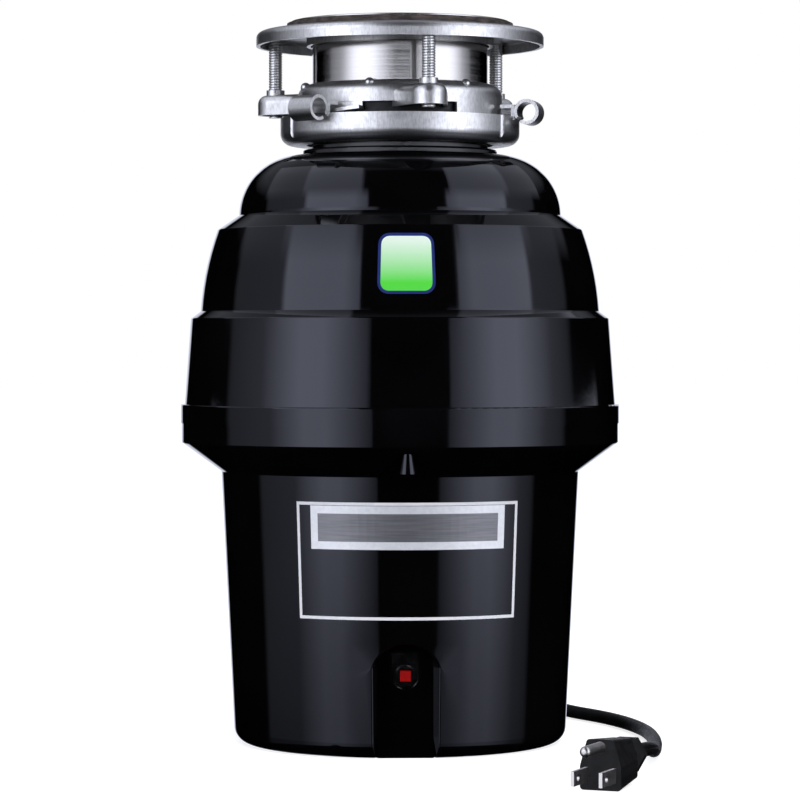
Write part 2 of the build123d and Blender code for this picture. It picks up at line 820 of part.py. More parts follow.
# four screws from below that hold the shell to the motor
with BuildPart() as shell_screws:
    for angle in bolt_angles:
        with BuildSketch(Plane(origin=polar(bell_foot_circle_r, angle, floor_z))):
            Circle(shell_screw_head_r)
        extrude(amount=-shell_screw_head_h)
        with BuildSketch(Plane(origin=polar(bell_foot_circle_r, angle, floor_z))):
            Circle(shell_screw_r)
        extrude(amount=shell_screw_len)
save(shell_screws, "shell_screws")

# hopper: moulded grinding chamber with the neck on top and the dishwasher inlet at the back
with BuildPart() as hopper:
    with BuildSketch(Plane.XZ):
        with BuildLine():
            Polyline(
                (hopper_r, hopper_shoulder_z), (hopper_r, hopper_bottom_z + hopper_flange_t),
                (hopper_flange_r, hopper_bottom_z + hopper_flange_t), (hopper_flange_r, hopper_bottom_z),
                (0, hopper_bottom_z), (0, neck_top_z), (neck_lip_r, neck_top_z),
                (neck_lip_r, neck_top_z - neck_lip_h), (neck_r, neck_top_z - neck_lip_h),
                (neck_r, neck_step_z), (neck_step_r, neck_step_z), (neck_step_r, hopper_crown_z))
            ThreePointArc((neck_step_r, hopper_crown_z), (hopper_arc_r, hopper_arc_z),
                          (hopper_r, hopper_shoulder_z))
        make_face()
    revolve(axis=Axis.Z)
    fillet(rims(hopper, neck_step_r, neck_step_z), neck_step_fillet)
    with BuildSketch(facing(neck_bore_r, inlet_angle, inlet_z)):
        Circle(inlet_root_r)
    extrude(amount=inlet_step_r - neck_bore_r)
    with BuildSketch(facing(inlet_step_r, inlet_angle, inlet_z)):
        Circle(inlet_r)
    extrude(amount=inlet_end_r - inlet_step_r)
    with BuildSketch(facing(inlet_bore_start_r, inlet_angle, inlet_z)):
        Circle(inlet_bore_r)
    extrude(amount=inlet_end_r, mode=Mode.SUBTRACT)
    with BuildSketch(Plane.XZ):
        with BuildLine():
            Polyline(
                (hopper_r - hopper_wall, hopper_shoulder_z), (hopper_r - hopper_wall, hopper_bottom_z),
                (0, hopper_bottom_z), (0, neck_top_z), (neck_bore_r, neck_top_z),
                (neck_bore_r, hopper_crown_z))
            ThreePointArc((neck_bore_r, hopper_crown_z),
                          (hopper_arc_r - hopper_wall, hopper_arc_z - hopper_wall / 2),
                          (hopper_r - hopper_wall, hopper_shoulder_z))
        make_face()
    revolve(axis=Axis.Z, mode=Mode.SUBTRACT)
    for angle in bolt_angles:
        with BuildSketch(Plane(origin=polar(chamber_bolt_circle_r, angle, hopper_bottom_z))):
            Circle(chamber_bolt_r + run_gap)
        extrude(amount=hopper_flange_t, mode=Mode.SUBTRACT)
save(hopper, "hopper")

# gasket between hopper and drain chamber
with BuildPart() as chamber_gasket:
    with BuildSketch(level(chamber_top_z)):
        Circle(hopper_flange_r)
        Circle(gasket_in_r, mode=Mode.SUBTRACT)
        for angle in bolt_angles:
            with Locations(polar(chamber_bolt_circle_r, angle)[:2]):
                Circle(chamber_bolt_r + run_gap, mode=Mode.SUBTRACT)
    extrude(amount=hopper_bottom_z - chamber_top_z)
save(chamber_gasket, "chamber_gasket")

# bolts through the two flanges, each with its nut
with BuildPart() as chamber_bolts:
    for angle in bolt_angles:
        top_z = hopper_bottom_z + hopper_flange_t
        low_z = chamber_top_z - chamber_flange_h
        with BuildSketch(Plane(origin=polar(chamber_bolt_circle_r, angle, low_z))):
            Circle(chamber_bolt_r)
        extrude(amount=top_z - low_z)
        with BuildSketch(Plane(origin=polar(chamber_bolt_circle_r, angle, top_z))):
            RegularPolygon(chamber_bolt_head_r, 6)
        extrude(amount=chamber_bolt_head_h)
        with BuildSketch(Plane(origin=polar(chamber_bolt_circle_r, angle, low_z))):
            RegularPolygon(chamber_nut_r, 6)
        extrude(amount=-chamber_bolt_head_h)
save(chamber_bolts, "chamber_bolts")

# shredder ring: fixed toothed ring hung by its flange between hopper and drain chamber
shred_flange_z = hopper_bottom_z - seat_gap - shred_flange_t
with BuildPart() as shredder_ring:
    with BuildSketch(level(shred_bottom_z)):
        Circle(shred_r)
        Circle(shred_in_r, mode=Mode.SUBTRACT)
    extrude(amount=shred_top_z - shred_bottom_z)
    with BuildSketch(level(shred_flange_z)):
        Circle(shred_flange_r)
        Circle(shred_in_r, mode=Mode.SUBTRACT)
    extrude(amount=shred_flange_t)
    for n in range(shred_teeth):
        with BuildSketch(facing(shred_in_r - shred_tooth_w, n * 360 / shred_teeth, shred_bottom_z)):
            Rectangle(shred_tooth_w, 2 * shred_tooth_h)
        extrude(amount=3 * shred_tooth_w, mode=Mode.SUBTRACT)
save(shredder_ring, "shredder_ring")

# drain chamber: cast bowl under the turntable with bearing hub and discharge port
with BuildPart() as drain_chamber:
    with BuildSketch(Plane.XZ):
        with BuildLine():
            Polyline(
                (bearing_r, hub_bottom_z), (hub_r, hub_bottom_z), (hub_r, chamber_base_z),
                (chamber_r - chamber_chamfer, chamber_base_z), (chamber_r, chamber_base_z + chamber_chamfer),
                (chamber_r, chamber_top_z - chamber_flange_h),
                (chamber_flange_r, chamber_top_z - chamber_flange_h), (chamber_flange_r, chamber_top_z),
                (shred_ledge_r, chamber_top_z), (shred_ledge_r, shred_flange_z),
                (chamber_in_r, shred_flange_z), (chamber_in_r, chamber_floor_z),
                (hub_r, chamber_floor_z), (hub_top_r, hub_top_z), (seal_seat_r, hub_top_z),
                (seal_seat_r, seal_seat_z), (shaft_hole_r, seal_seat_z),
                (shaft_hole_r, bearing_seat_top_z), (bearing_r, bearing_seat_top_z), close=True)
        make_face()
    revolve(axis=Axis.Z)
    with BuildSketch(facing(chamber_in_r + 1.5 * seat_gap, 90, port_z)):
        Circle(port_r)
    extrude(amount=port_face_y - chamber_in_r - 1.5 * seat_gap)
    with BuildSketch(facing(port_face_y, 90, port_z)):
        Circle(port_r)
        with Locations((port_ear_x, 0), (-port_ear_x, 0)):
            Circle(port_ear_r)
        make_hull()
    extrude(amount=-port_flange_t)
    with BuildSketch(facing(chamber_in_r / 2, 90, port_z)):
        Circle(port_bore_r)
    extrude(amount=port_face_y, mode=Mode.SUBTRACT)
    with BuildSketch(facing(port_face_y, 90, port_z)):
        with Locations((port_ear_x, 0), (-port_ear_x, 0)):
            Circle(port_screw_r)
    extrude(amount=-port_screw_depth, mode=Mode.SUBTRACT)
    for angle in bolt_angles:
        with BuildSketch(Plane(origin=polar(motor_bolt_circle_r, angle, chamber_base_z))):
            Circle(motor_bolt_r + run_gap)
        extrude(amount=motor_bolt_hole_z - chamber_base_z, mode=Mode.SUBTRACT)
        with BuildSketch(Plane(origin=polar(chamber_bolt_circle_r, angle, chamber_top_z))):
            Circle(chamber_bolt_r + run_gap)
        extrude(amount=-chamber_flange_h, mode=Mode.SUBTRACT)
save(drain_chamber, "drain_chamber")

# shaft seal in the top of the hub
with BuildPart() as shaft_seal:
    with BuildSketch(level(seal_seat_z)):
        Circle(seal_seat_r - fit_gap)
        Circle(shaft_r + slide_gap, mode=Mode.SUBTRACT)
    extrude(amount=bearing_w)
save(shaft_seal, "shaft_seal")

# ball bearings, shown as closed rings with grooved faces
with BuildPart() as upper_bearing:
    with BuildSketch(level(bearing_seat_top_z - bearing_w)):
        Circle(bearing_r - fit_gap)
        Circle(shaft_r + run_gap, mode=Mode.SUBTRACT)
    extrude(amount=bearing_w)
    with BuildSketch(level(bearing_seat_top_z - bearing_w)):
        Circle(bearing_r - bearing_face)
        Circle(shaft_r + bearing_face, mode=Mode.SUBTRACT)
    extrude(amount=bearing_groove, mode=Mode.SUBTRACT)
save(upper_bearing, "upper_bearing")

with BuildPart() as lower_bearing:
    with BuildSketch(level(lower_bearing_z)):
        Circle(bearing_r - fit_gap)
        Circle(shaft_r + run_gap, mode=Mode.SUBTRACT)
    extrude(amount=bearing_w)
    with BuildSketch(level(lower_bearing_z + bearing_w)):
        Circle(bearing_r - bearing_face)
        Circle(shaft_r + bearing_face, mode=Mode.SUBTRACT)
    extrude(amount=-bearing_groove, mode=Mode.SUBTRACT)
save(lower_bearing, "lower_bearing")

# motor can: steel tube between the end bell and the drain chamber
with BuildPart() as motor_can:
    with BuildSketch(level(can_bottom_z)):
        Circle(can_r)
        Circle(can_r - can_wall, mode=Mode.SUBTRACT)
    extrude(amount=chamber_base_z - can_bottom_z)
save(motor_can, "motor_can")

# two curved field magnets glued in the can
with BuildPart() as field_magnets:
    for angle in (90, 270):
        arch = sector(magnet_in_r, can_r - can_wall - fit_gap,
                      angle - magnet_span_deg / 2, angle + magnet_span_deg / 2)
        with BuildSketch(level(magnet_bottom_z)):
            make_face(arch)
        extrude(amount=magnet_top_z - magnet_bottom_z)
save(field_magnets, "field_magnets")

# lower end bell: carries the lower bearing, the brush posts and the feet
with BuildPart() as lower_end_bell:
    with BuildSketch(Plane.XZ):
        with BuildLine():
            Polyline(
                (0, bell_floor_z), (bell_ledge_r, bell_floor_z), (bell_ledge_r, bell_top_z),
                (bell_in_r, bell_top_z), (bell_in_r, lower_bearing_z), (bell_hub_r, lower_bearing_z),
                (bell_hub_r, lower_bearing_z + bearing_w), (bearing_r, lower_bearing_z + bearing_w),
                (bearing_r, lower_bearing_z), (bell_shaft_r, lower_bearing_z),
                (bell_shaft_r, bell_pocket_z), (0, bell_pocket_z), close=True)
        make_face()
    revolve(axis=Axis.Z)
    for angle in bolt_angles:
        with BuildSketch(Plane(origin=polar(bell_foot_circle_r, angle, floor_top_z))):
            Circle(bell_foot_r)
        extrude(amount=bell_floor_z - floor_top_z + run_gap)
        with BuildSketch(Plane(origin=polar(bell_foot_circle_r, angle, floor_top_z))):
            Circle(shell_screw_r + run_gap)
        extrude(amount=floor_z + shell_screw_len - floor_top_z + seat_gap, mode=Mode.SUBTRACT)
        with BuildSketch(Plane(origin=polar(motor_bolt_circle_r, angle, bell_floor_z))):
            Circle(motor_bolt_r + run_gap)
        extrude(amount=bell_top_z - bell_floor_z, mode=Mode.SUBTRACT)
    for side in (-1, 1):
        with BuildSketch(Plane(origin=(side * (holder_start_r + holder_len / 2 + holder_wall_t), 0,
                                       lower_bearing_z - run_gap))):
            Rectangle(holder_len / 2, holder_w)
        extrude(amount=brush_z - holder_h / 2 - lower_bearing_z + run_gap)
save(lower_end_bell, "lower_end_bell")

# brush holders on the posts, with the brushes and their springs inside
with BuildPart() as brush_holders:
    for side in (0, 180):
        with BuildSketch(facing(holder_start_r, side, brush_z)):
            Rectangle(holder_w, holder_h)
        extrude(amount=holder_len)
        with BuildSketch(facing(holder_start_r, side, brush_z)):
            Rectangle(brush_w + seat_gap, brush_h + seat_gap)
        extrude(amount=holder_len - holder_wall_t, mode=Mode.SUBTRACT)
save(brush_holders, "brush_holders")

with BuildPart() as brushes:
    for side in (0, 180):
        with BuildSketch(facing(brush_face_r, side, brush_z)):
            Rectangle(brush_w, brush_h)
        extrude(amount=brush_len)
save(brushes, "brushes")

with BuildPart() as brush_springs:
    for side in (0, 180):
        with BuildSketch(facing(brush_face_r + brush_len, side, brush_z)):
            Circle(spring_r)
            Circle(spring_r - spring_wall, mode=Mode.SUBTRACT)
        extrude(amount=holder_start_r + holder_len - holder_wall_t - brush_face_r - brush_len)
save(brush_springs, "brush_springs")

# long bolts that pull the end bell, can and drain chamber together
with BuildPart() as motor_bolts:
    for angle in bolt_angles:
        with BuildSketch(Plane(origin=polar(motor_bolt_circle_r, angle, bell_floor_z))):
            Circle(motor_bolt_head_r)
        extrude(amount=-motor_bolt_head_h)
        with BuildSketch(Plane(origin=polar(motor_bolt_circle_r, angle, bell_floor_z))):
            Circle(motor_bolt_r)
        extrude(amount=motor_bolt_hole_z - seat_gap - bell_floor_z)
save(motor_bolts, "motor_bolts")

# rectifier on the ledge of the end bell
with BuildPart() as rectifier:
    with BuildSketch(Plane(origin=(rectifier_x + rectifier_t / 2, 0, bell_top_z))):
        Rectangle(rectifier_t, rectifier_w)
    extrude(amount=rectifier_h)
save(rectifier, "rectifier")

# overload protector behind the reset recess, with the round collar of its button
with BuildPart() as overload_protector:
    back = recess_back_y - recess_skin
    with BuildSketch(Plane.XZ.offset(back)):
        with Locations((0, protector_low_z)):
            Rectangle(protector_w, protector_high_z - protector_low_z, align=(Align.CENTER, Align.MIN))
    extrude(amount=-protector_depth)
    with BuildSketch(Plane.XZ.offset(back)):
        with Locations((0, button_z)):
            Circle(protector_collar_r)
    extrude(amount=collar_face_y - back)
    with BuildSketch(Plane.XZ.offset(collar_face_y)):
        with Locations((0, button_z)):
            Rectangle(button_side + 2 * button_gap, button_side + 2 * button_gap)
    extrude(amount=-(button_len + button_gap), mode=Mode.SUBTRACT)
save(overload_protector, "overload_protector")

# red reset button, sliding in the collar
with BuildPart() as reset_button:
    with BuildSketch(Plane.XZ.offset(button_face_y)):
        with Locations((0, button_z)):
            Rectangle(button_side, button_side)
    extrude(amount=-button_len)
    fillet(reset_button.faces().sort_by(Axis.Y)[0].edges(), button_gap)
save(reset_button, "reset_button")

# motor shaft with a threaded stud for the turntable nut
with BuildPart() as motor_shaft:
    with BuildSketch(level(shaft_bottom_z)):
        Circle(shaft_r)
    extrude(amount=shaft_shoulder_z - shaft_bottom_z)
    with BuildSketch(level(shaft_shoulder_z)):
        Circle(stud_r)
    extrude(amount=stud_top_z - shaft_shoulder_z)
save(motor_shaft, "motor_shaft")

# slotted rotor core
with BuildPart() as rotor_core:
    with BuildSketch(level(core_bottom_z)):
        Circle(core_r)
        Circle(shaft_r + fit_gap, mode=Mode.SUBTRACT)
        with PolarLocations(0, core_slots):
            with Locations((core_slot_in_r, 0)):
                Rectangle(core_slot_out_r - core_slot_in_r, core_slot_w, align=(Align.MIN, Align.CENTER),
                          mode=Mode.SUBTRACT)
                Rectangle(core_r, core_mouth_w, align=(Align.MIN, Align.CENTER), mode=Mode.SUBTRACT)
    extrude(amount=core_top_z - core_bottom_z)
save(rotor_core, "rotor_core")

# winding: bars in the slots joined by the end bundles
with BuildPart() as rotor_winding:
    for low_z in (core_bottom_z - winding_t, core_top_z):
        with BuildSketch(level(low_z)):
            Circle(winding_out_r)
            Circle(winding_in_r, mode=Mode.SUBTRACT)
        extrude(amount=winding_t)
    for end_z in (core_bottom_z - winding_t, core_top_z + winding_t):
        fillet(rims(rotor_winding, winding_out_r, end_z), winding_fillet)
        fillet(rims(rotor_winding, winding_in_r, end_z), winding_fillet)
    with BuildSketch(level(core_bottom_z)):
        with PolarLocations(0, core_slots):
            with Locations((core_slot_in_r + slot_fill_gap, 0)):
                Rectangle(core_slot_out_r - core_slot_in_r - 2 * slot_fill_gap,
                          core_slot_w - 2 * slot_fill_gap, align=(Align.MIN, Align.CENTER))
    extrude(amount=core_top_z - core_bottom_z)
save(rotor_winding, "rotor_winding")

# commutator under the winding
with BuildPart() as commutator:
    with BuildSketch(level(commutator_bottom_z)):
        Circle(commutator_r)
        Circle(shaft_r + fit_gap, mode=Mode.SUBTRACT)
    extrude(amount=commutator_top_z - commutator_bottom_z)
save(commutator, "commutator")

# turntable: stainless plate with a raised rim and pumping vanes underneath
with BuildPart() as turntable:
    with BuildSketch(level(shaft_shoulder_z)):
        Circle(plate_r)
    extrude(amount=plate_t)
    with BuildSketch(level(plate_top_z)):
        Circle(plate_r)
        Circle(plate_r - plate_rim_t, mode=Mode.SUBTRACT)
    extrude(amount=plate_rim_h)
    for n in range(vane_count):
        with BuildSketch(level(shaft_shoulder_z, (n + 0.5) * 360 / vane_count)):
            with Locations((vane_mid_r, 0)):
                Rectangle(vane_len, vane_w)
        extrude(amount=-vane_h)
    with BuildSketch(level(shaft_shoulder_z)):
        Circle(stud_r + fit_gap)
        with Locations((lug_circle_r, 0), (-lug_circle_r, 0)):
            Circle(lug_pin_r + fit_gap)
    extrude(amount=plate_t, mode=Mode.SUBTRACT)
save(turntable, "turntable")

# nut that holds the turntable
with BuildPart() as turntable_nut:
    with BuildSketch(level(plate_top_z)):
        RegularPolygon(nut_flats / 2, 6, major_radius=False)
        Circle(stud_r + fit_gap, mode=Mode.SUBTRACT)
    extrude(amount=nut_h)
save(turntable_nut, "turntable_nut")

# rivets on which the impellers swivel
lug_low_z = plate_top_z + seat_gap
lug_head_z = lug_low_z + lug_base_t + seat_gap
with BuildPart() as impeller_pins:
    for x in (-lug_circle_r, lug_circle_r):
        with BuildSketch(Plane(origin=(x, 0, shaft_shoulder_z))):
            Circle(lug_pin_r)
        extrude(amount=lug_head_z - shaft_shoulder_z)
        with BuildSketch(Plane(origin=(x, 0, lug_head_z))):
            Circle(lug_pin_head_r)
        extrude(amount=lug_pin_head_h)
        with BuildSketch(Plane(origin=(x, 0, shaft_shoulder_z))):
            Circle(lug_pin_head_r)
        extrude(amount=-lug_pin_head_h)
save(impeller_pins, "impeller_pins")

# swivel impellers: flat eye with a raised lug at the outer end
with BuildPart() as impeller_a:
    eye = Plane(origin=polar(lug_circle_r, 0, lug_low_z), x_dir=polar(1, 0))
    with BuildSketch(eye):
        Circle(lug_eye_r)
        with Locations((lug_reach, 0)):
            Circle(lug_tip_r)
        make_hull()
    extrude(amount=lug_height)
    with BuildSketch(eye.offset(lug_base_t)):
        with Locations((lug_wall_start, 0)):
            Rectangle(4 * lug_eye_r, 4 * lug_eye_r, align=(Align.MAX, Align.CENTER))
    extrude(amount=lug_height, mode=Mode.SUBTRACT)
    with BuildSketch(eye):
        Circle(lug_pin_r + run_gap)
    extrude(amount=lug_base_t, mode=Mode.SUBTRACT)
save(impeller_a, "impeller_a")

with BuildPart() as impeller_b:
    eye = Plane(origin=polar(lug_circle_r, 180, lug_low_z), x_dir=polar(1, 180))
    with BuildSketch(eye):
        Circle(lug_eye_r)
        with Locations((lug_reach, 0)):
            Circle(lug_tip_r)
        make_hull()
    extrude(amount=lug_height)
    with BuildSketch(eye.offset(lug_base_t)):
        with Locations((lug_wall_start, 0)):
            Rectangle(4 * lug_eye_r, 4 * lug_eye_r, align=(Align.MAX, Align.CENTER))
    extrude(amount=lug_height, mode=Mode.SUBTRACT)
    with BuildSketch(eye):
        Circle(lug_pin_r + run_gap)
    extrude(amount=lug_base_t, mode=Mode.SUBTRACT)
save(impeller_b, "impeller_b")

# strain relief: flanged bush through the shell with a tapered sleeve
exit_r = bucket_foot_r + (bucket_top_r - bucket_foot_r) * exit_z / bucket_top_z
relief_end_r = exit_r + relief_seat + relief_flange_t + relief_len
with BuildPart() as strain_relief:
    lock_r = exit_r - wall - relief_lock_seat - relief_lock_t
    with BuildSketch(facing(lock_r, exit_angle, exit_z)):
        Circle(relief_lock_r)
    extrude(amount=relief_lock_t)
    with BuildSketch(facing(lock_r, exit_angle, exit_z)):
        Circle(relief_neck_r)
    extrude(amount=exit_r + relief_seat - lock_r)
    with BuildSketch(facing(exit_r + relief_seat, exit_angle, exit_z)):
        Circle(relief_flange_r)
    extrude(amount=relief_flange_t)
    with BuildSketch(facing(exit_r + relief_seat + relief_flange_t, exit_angle, exit_z)):
        Circle(relief_root_r)
    extrude(amount=relief_len, taper=degrees(atan2(relief_root_r - relief_tip_r, relief_len)))
save(strain_relief, "strain_relief")


# middle line of the coil: spirals in, climbs one layer where it turns, spirals out
def coil_point(turn):
    climb = min(max((turn - coil_climb_from) / (coil_climb_to - coil_climb_from), 0), 1)
    shrink = min(turn, coil_climb_from) / 360 + climb * (1 - climb) / 2
    grow = max(turn - coil_climb_to, 0) / 360
    r = coil_out_r - coil_pitch * (shrink - grow)
    x, y, z = polar(r, coil_start_deg - turn)
    return Vector(coil_x + x, coil_y + y, coil_z + coil_rise * climb * climb * (3 - 2 * climb))


def coil_tangent(turn):
    tiny = 0.01
    low = max(turn - tiny, 0)
    return (coil_point(turn + tiny) - coil_point(low)).normalized()


def biarc(p0, t0, p1, t1):
    v = p1 - p0
    t = t0 + t1
    a = 2 * (1 - t0.dot(t1))
    b = v.dot(t)
    d = (-b + sqrt(b * b + a * v.dot(v))) / a
    q = (p0 + t0 * d + p1 - t1 * d) * 0.5
    tq = (p1 - t1 * d - p0 - t0 * d).normalized()
    return [TangentArc(p0, q, tangent=t0), TangentArc(q, p1, tangent=tq)]


# coil of the cord, one unbroken tube
turns = [coil_end_turn * n / coil_spans for n in range(coil_spans + 1)]
coil_in = coil_point(0) - coil_tangent(0) * coil_stub
coil_out = coil_point(coil_end_turn) + coil_tangent(coil_end_turn) * coil_stub
coil_edges = [Line(coil_in, coil_point(0))]
for here, there in zip(turns, turns[1:]):
    coil_edges += biarc(coil_point(here), coil_tangent(here), coil_point(there), coil_tangent(there))
coil_edges.append(Line(coil_point(coil_end_turn), coil_out))
with BuildPart() as cord_coil:
    with BuildLine() as coil_path:
        add(coil_edges)
    with BuildSketch(Plane(origin=coil_in, z_dir=coil_tangent(0))):
        Circle(cord_r)
    sweep(path=coil_path.wires()[0])
save(cord_coil, "cord_coil")


def corner_radii(points):
    radii = []
    for a, b, c in zip(points, points[1:], points[2:]):
        turn = (b - a).get_angle(c - b)
        radii.append(bend_share * min((b - a).length, (c - b).length) / tan(radians(turn / 2)))
    return radii


# lead: from the strain relief down to the coil
exit_dir = Vector(polar(1, exit_angle))
lead_start = Vector(polar(relief_end_r, exit_angle, exit_z))
lead_points = [lead_start, lead_start + exit_dir * lead_run, coil_in - coil_tangent(0) * lead_run, coil_in]
lead_line = FilletPolyline(*lead_points, radius=corner_radii(lead_points))
with BuildPart() as cord_lead:
    with BuildLine() as lead_path:
        add(lead_line)
    with BuildSketch(facing(relief_end_r, exit_angle, exit_z)):
        Circle(cord_r)
    sweep(path=lead_path.wires()[0])
save(cord_lead, "cord_lead")

# tail: from the coil round the body to the plug
floor_cord_z = cord_r + seat_gap
plug_dir = Vector(polar(1, plug_dir_deg))
plug_back = plug_len + plug_neck_len + plug_collar_len + plug_tail_len
plug_rear = Vector(plug_x, plug_y, plug_low + plug_axis_h) - plug_dir * plug_back
tail_bends = (tail_bend_a, tail_bend_b, tail_bend_c, tail_bend_d, tail_bend_e)
tail_points = [coil_out, coil_out + coil_tangent(coil_end_turn) * tail_run]
tail_points += [Vector(x, y, floor_cord_z) for x, y in tail_bends]
tail_points += [plug_rear - plug_dir * tail_stub, plug_rear]
tail_line = FilletPolyline(*tail_points, radius=corner_radii(tail_points))
with BuildPart() as cord_tail:
    with BuildLine() as tail_path:
        add(tail_line)
    with BuildSketch(Plane(origin=coil_out, z_dir=tail_points[1] - tail_points[0])):
        Circle(cord_r)
    sweep(path=tail_path.wires()[0])
save(cord_tail, "cord_tail")

# tie round the two layers of the coil
tie_mid = (coil_point(tie_turn) + coil_point(tie_turn + 360)) * 0.5
with BuildPart() as cord_tie:
    with BuildSketch(Plane(origin=tie_mid, x_dir=(0, 1, 0), z_dir=(1, 0, 0))):
        wide = 2 * (cord_r + tie_gap)
        RectangleRounded(wide + 2 * tie_t, wide + coil_rise + 2 * tie_t, tie_corner_r + tie_t)
        RectangleRounded(wide, wide + coil_rise, tie_corner_r, mode=Mode.SUBTRACT)
    extrude(amount=tie_w / 2, both=True)
save(cord_tie, "cord_tie")

# plug body: five sided grip tapering to a neck with a six sided collar
plug_plane = facing(0, plug_dir_deg, 0)
plug_face = Plane(origin=(plug_x, plug_y, plug_low), x_dir=plug_plane.x_dir, z_dir=plug_plane.z_dir)
with BuildPart() as plug_body:
    for back, scale_by in ((0, 1), (plug_len, plug_rear_scale)):
        with BuildSketch(plug_face.offset(-back)):
            with BuildLine():
                mid = plug_axis_h * (1 - scale_by)
                Polyline(
                    (-plug_half_w * scale_by, mid - plug_low * scale_by),
                    (plug_half_w * scale_by, mid - plug_low * scale_by),
                    (plug_half_w * scale_by, mid + plug_side_h * scale_by),
                    (plug_top_half_w * scale_by, mid + plug_top_h * scale_by),
                    (-plug_top_half_w * scale_by, mid + plug_top_h * scale_by),
                    (-plug_half_w * scale_by, mid + plug_side_h * scale_by), close=True)
            make_face()
    loft()
    fillet(plug_body.edges().filter_by(lambda e: abs((e % 0.5).dot(plug_dir)) > 0.5), plug_corner_r)
    rear_face = plug_face.offset(-plug_len)
    with BuildSketch(rear_face):
        with Locations((0, plug_axis_h)):
            Circle(plug_neck_r)
    extrude(amount=-plug_neck_len)
    with BuildSketch(rear_face.offset(-plug_neck_len)):
        with Locations((0, plug_axis_h)):
            RegularPolygon(plug_collar_r, 6)
    extrude(amount=-plug_collar_len)
    with BuildSketch(rear_face.offset(-plug_neck_len - plug_collar_len)):
        with Locations((0, plug_axis_h)):
            Circle(plug_tail_r)
    extrude(amount=-plug_tail_len)
save(plug_body, "plug_body")

# flat blades and round ground pin
with BuildPart() as plug_blades:
    for side in (-1, 1):
        with BuildSketch(plug_face):
            with Locations((side * blade_pitch / 2, 0)):
                Rectangle(blade_t, blade_w)
        extrude(amount=blade_len)
    across = Plane(origin=plug_face.origin + plug_dir * (blade_len - blade_hole_in), z_dir=plug_face.x_dir)
    with BuildSketch(across):
        Circle(blade_hole_r)
    extrude(amount=blade_pitch, both=True, mode=Mode.SUBTRACT)
save(plug_blades, "plug_blades")

with BuildPart() as plug_ground_pin:
    with BuildSketch(plug_face):
        with Locations((0, ground_up)):
            Circle(ground_r)
    extrude(amount=ground_len)
    tip = plug_ground_pin.faces().sort_by(Axis(plug_face.origin, plug_face.z_dir))[-1]
    fillet(tip.edges(), ground_tip_r)
save(plug_ground_pin, "plug_ground_pin")

samples = [coil_path.wires()[0].position_at(n / coil_checks) for n in range(coil_checks)]
apart = int(4 * cord_r * coil_checks / coil_path.wires()[0].length)
self_gap = min((a - b).length for n, a in enumerate(samples) for b in samples[n + apart:])
print("coil least gap to itself", round(self_gap - 2 * cord_r, 2))
print("lead length", round(lead_line.length, 1), "radii", [round(r, 1) for r in corner_radii(lead_points)])
print("tail length", round(tail_line.length, 1), "radii", [round(r, 1) for r in corner_radii(tail_points)])
coil_len = sum(e.length for e in coil_edges)
print("coil length", round(coil_len, 1), "volume ratio",
      round(cord_coil.part.volume / (coil_len * pi * cord_r ** 2), 4))
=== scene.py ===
from math import cos, degrees, pi, radians, sin

import bmesh
import bpy
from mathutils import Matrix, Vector


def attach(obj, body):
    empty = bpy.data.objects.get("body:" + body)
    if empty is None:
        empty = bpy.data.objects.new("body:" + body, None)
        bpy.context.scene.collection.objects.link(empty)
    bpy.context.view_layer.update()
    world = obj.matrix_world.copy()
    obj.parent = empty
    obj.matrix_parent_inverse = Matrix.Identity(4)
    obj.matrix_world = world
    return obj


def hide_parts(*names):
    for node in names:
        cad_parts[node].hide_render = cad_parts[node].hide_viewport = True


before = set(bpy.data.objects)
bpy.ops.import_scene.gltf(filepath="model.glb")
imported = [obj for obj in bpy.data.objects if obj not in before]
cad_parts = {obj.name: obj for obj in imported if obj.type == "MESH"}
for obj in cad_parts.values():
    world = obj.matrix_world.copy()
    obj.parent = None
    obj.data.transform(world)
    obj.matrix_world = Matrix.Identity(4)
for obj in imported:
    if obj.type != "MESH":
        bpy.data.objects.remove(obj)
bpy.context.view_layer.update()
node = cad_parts


# Motor case and end bell: a drawn steel cup, sprayed black, closed below by a die-cast
# aluminium bell. Four long zinc-plated bolts pull them up against the drain chamber, which is
# cast like the bell.
def shader_of(finish):
    return finish.node_tree.nodes["Principled BSDF"]


def set_sockets(finish, values):
    for socket, value in values.items():
        shader_of(finish).inputs[socket].default_value = value


def new_finish(name, metallic, roughness):
    finish = bpy.data.materials.new(name)
    finish.use_nodes = True
    set_sockets(finish, {"Metallic": metallic, "Roughness": roughness})
    return finish


def add_node(tree, kind, inputs, **settings):
    """A new shader node, with each input linked to a socket or set to a value."""
    made = tree.nodes.new(kind)
    for key, value in settings.items():
        setattr(made, key, value)
    for key, value in inputs.items():
        if isinstance(value, bpy.types.NodeSocket):
            tree.links.new(value, made.inputs[key])
        else:
            made.inputs[key].default_value = value
    return made


def grain(finish, size, stretch=(1, 1, 1), detail=3):
    """Noise on the piece's own coordinates, size metres across, drawn out along an axis."""
    tree = finish.node_tree
    place = add_node(tree, "ShaderNodeTexCoord", {})
    scaled = add_node(tree, "ShaderNodeMapping", {
        "Vector": place.outputs["Object"], "Scale": [1 / (size * s) for s in stretch]})
    noise = add_node(tree, "ShaderNodeTexNoise", {
        "Vector": scaled.outputs["Vector"], "Scale": 1, "Detail": detail})
    return noise.outputs["Fac"]


pattern_reach = (0.35, 0.65)


def tint(finish, pattern, dark, light, reach=pattern_reach):
    """Base colour that goes from dark to light while the pattern goes through its reach."""
    tree = finish.node_tree
    ramp = add_node(tree, "ShaderNodeValToRGB", {"Fac": pattern})
    for element, place, colour in zip(ramp.color_ramp.elements, reach, (dark, light)):
        element.position = place
        element.color = (*colour, 1)
    tree.links.new(ramp.outputs["Color"], shader_of(finish).inputs["Base Color"])


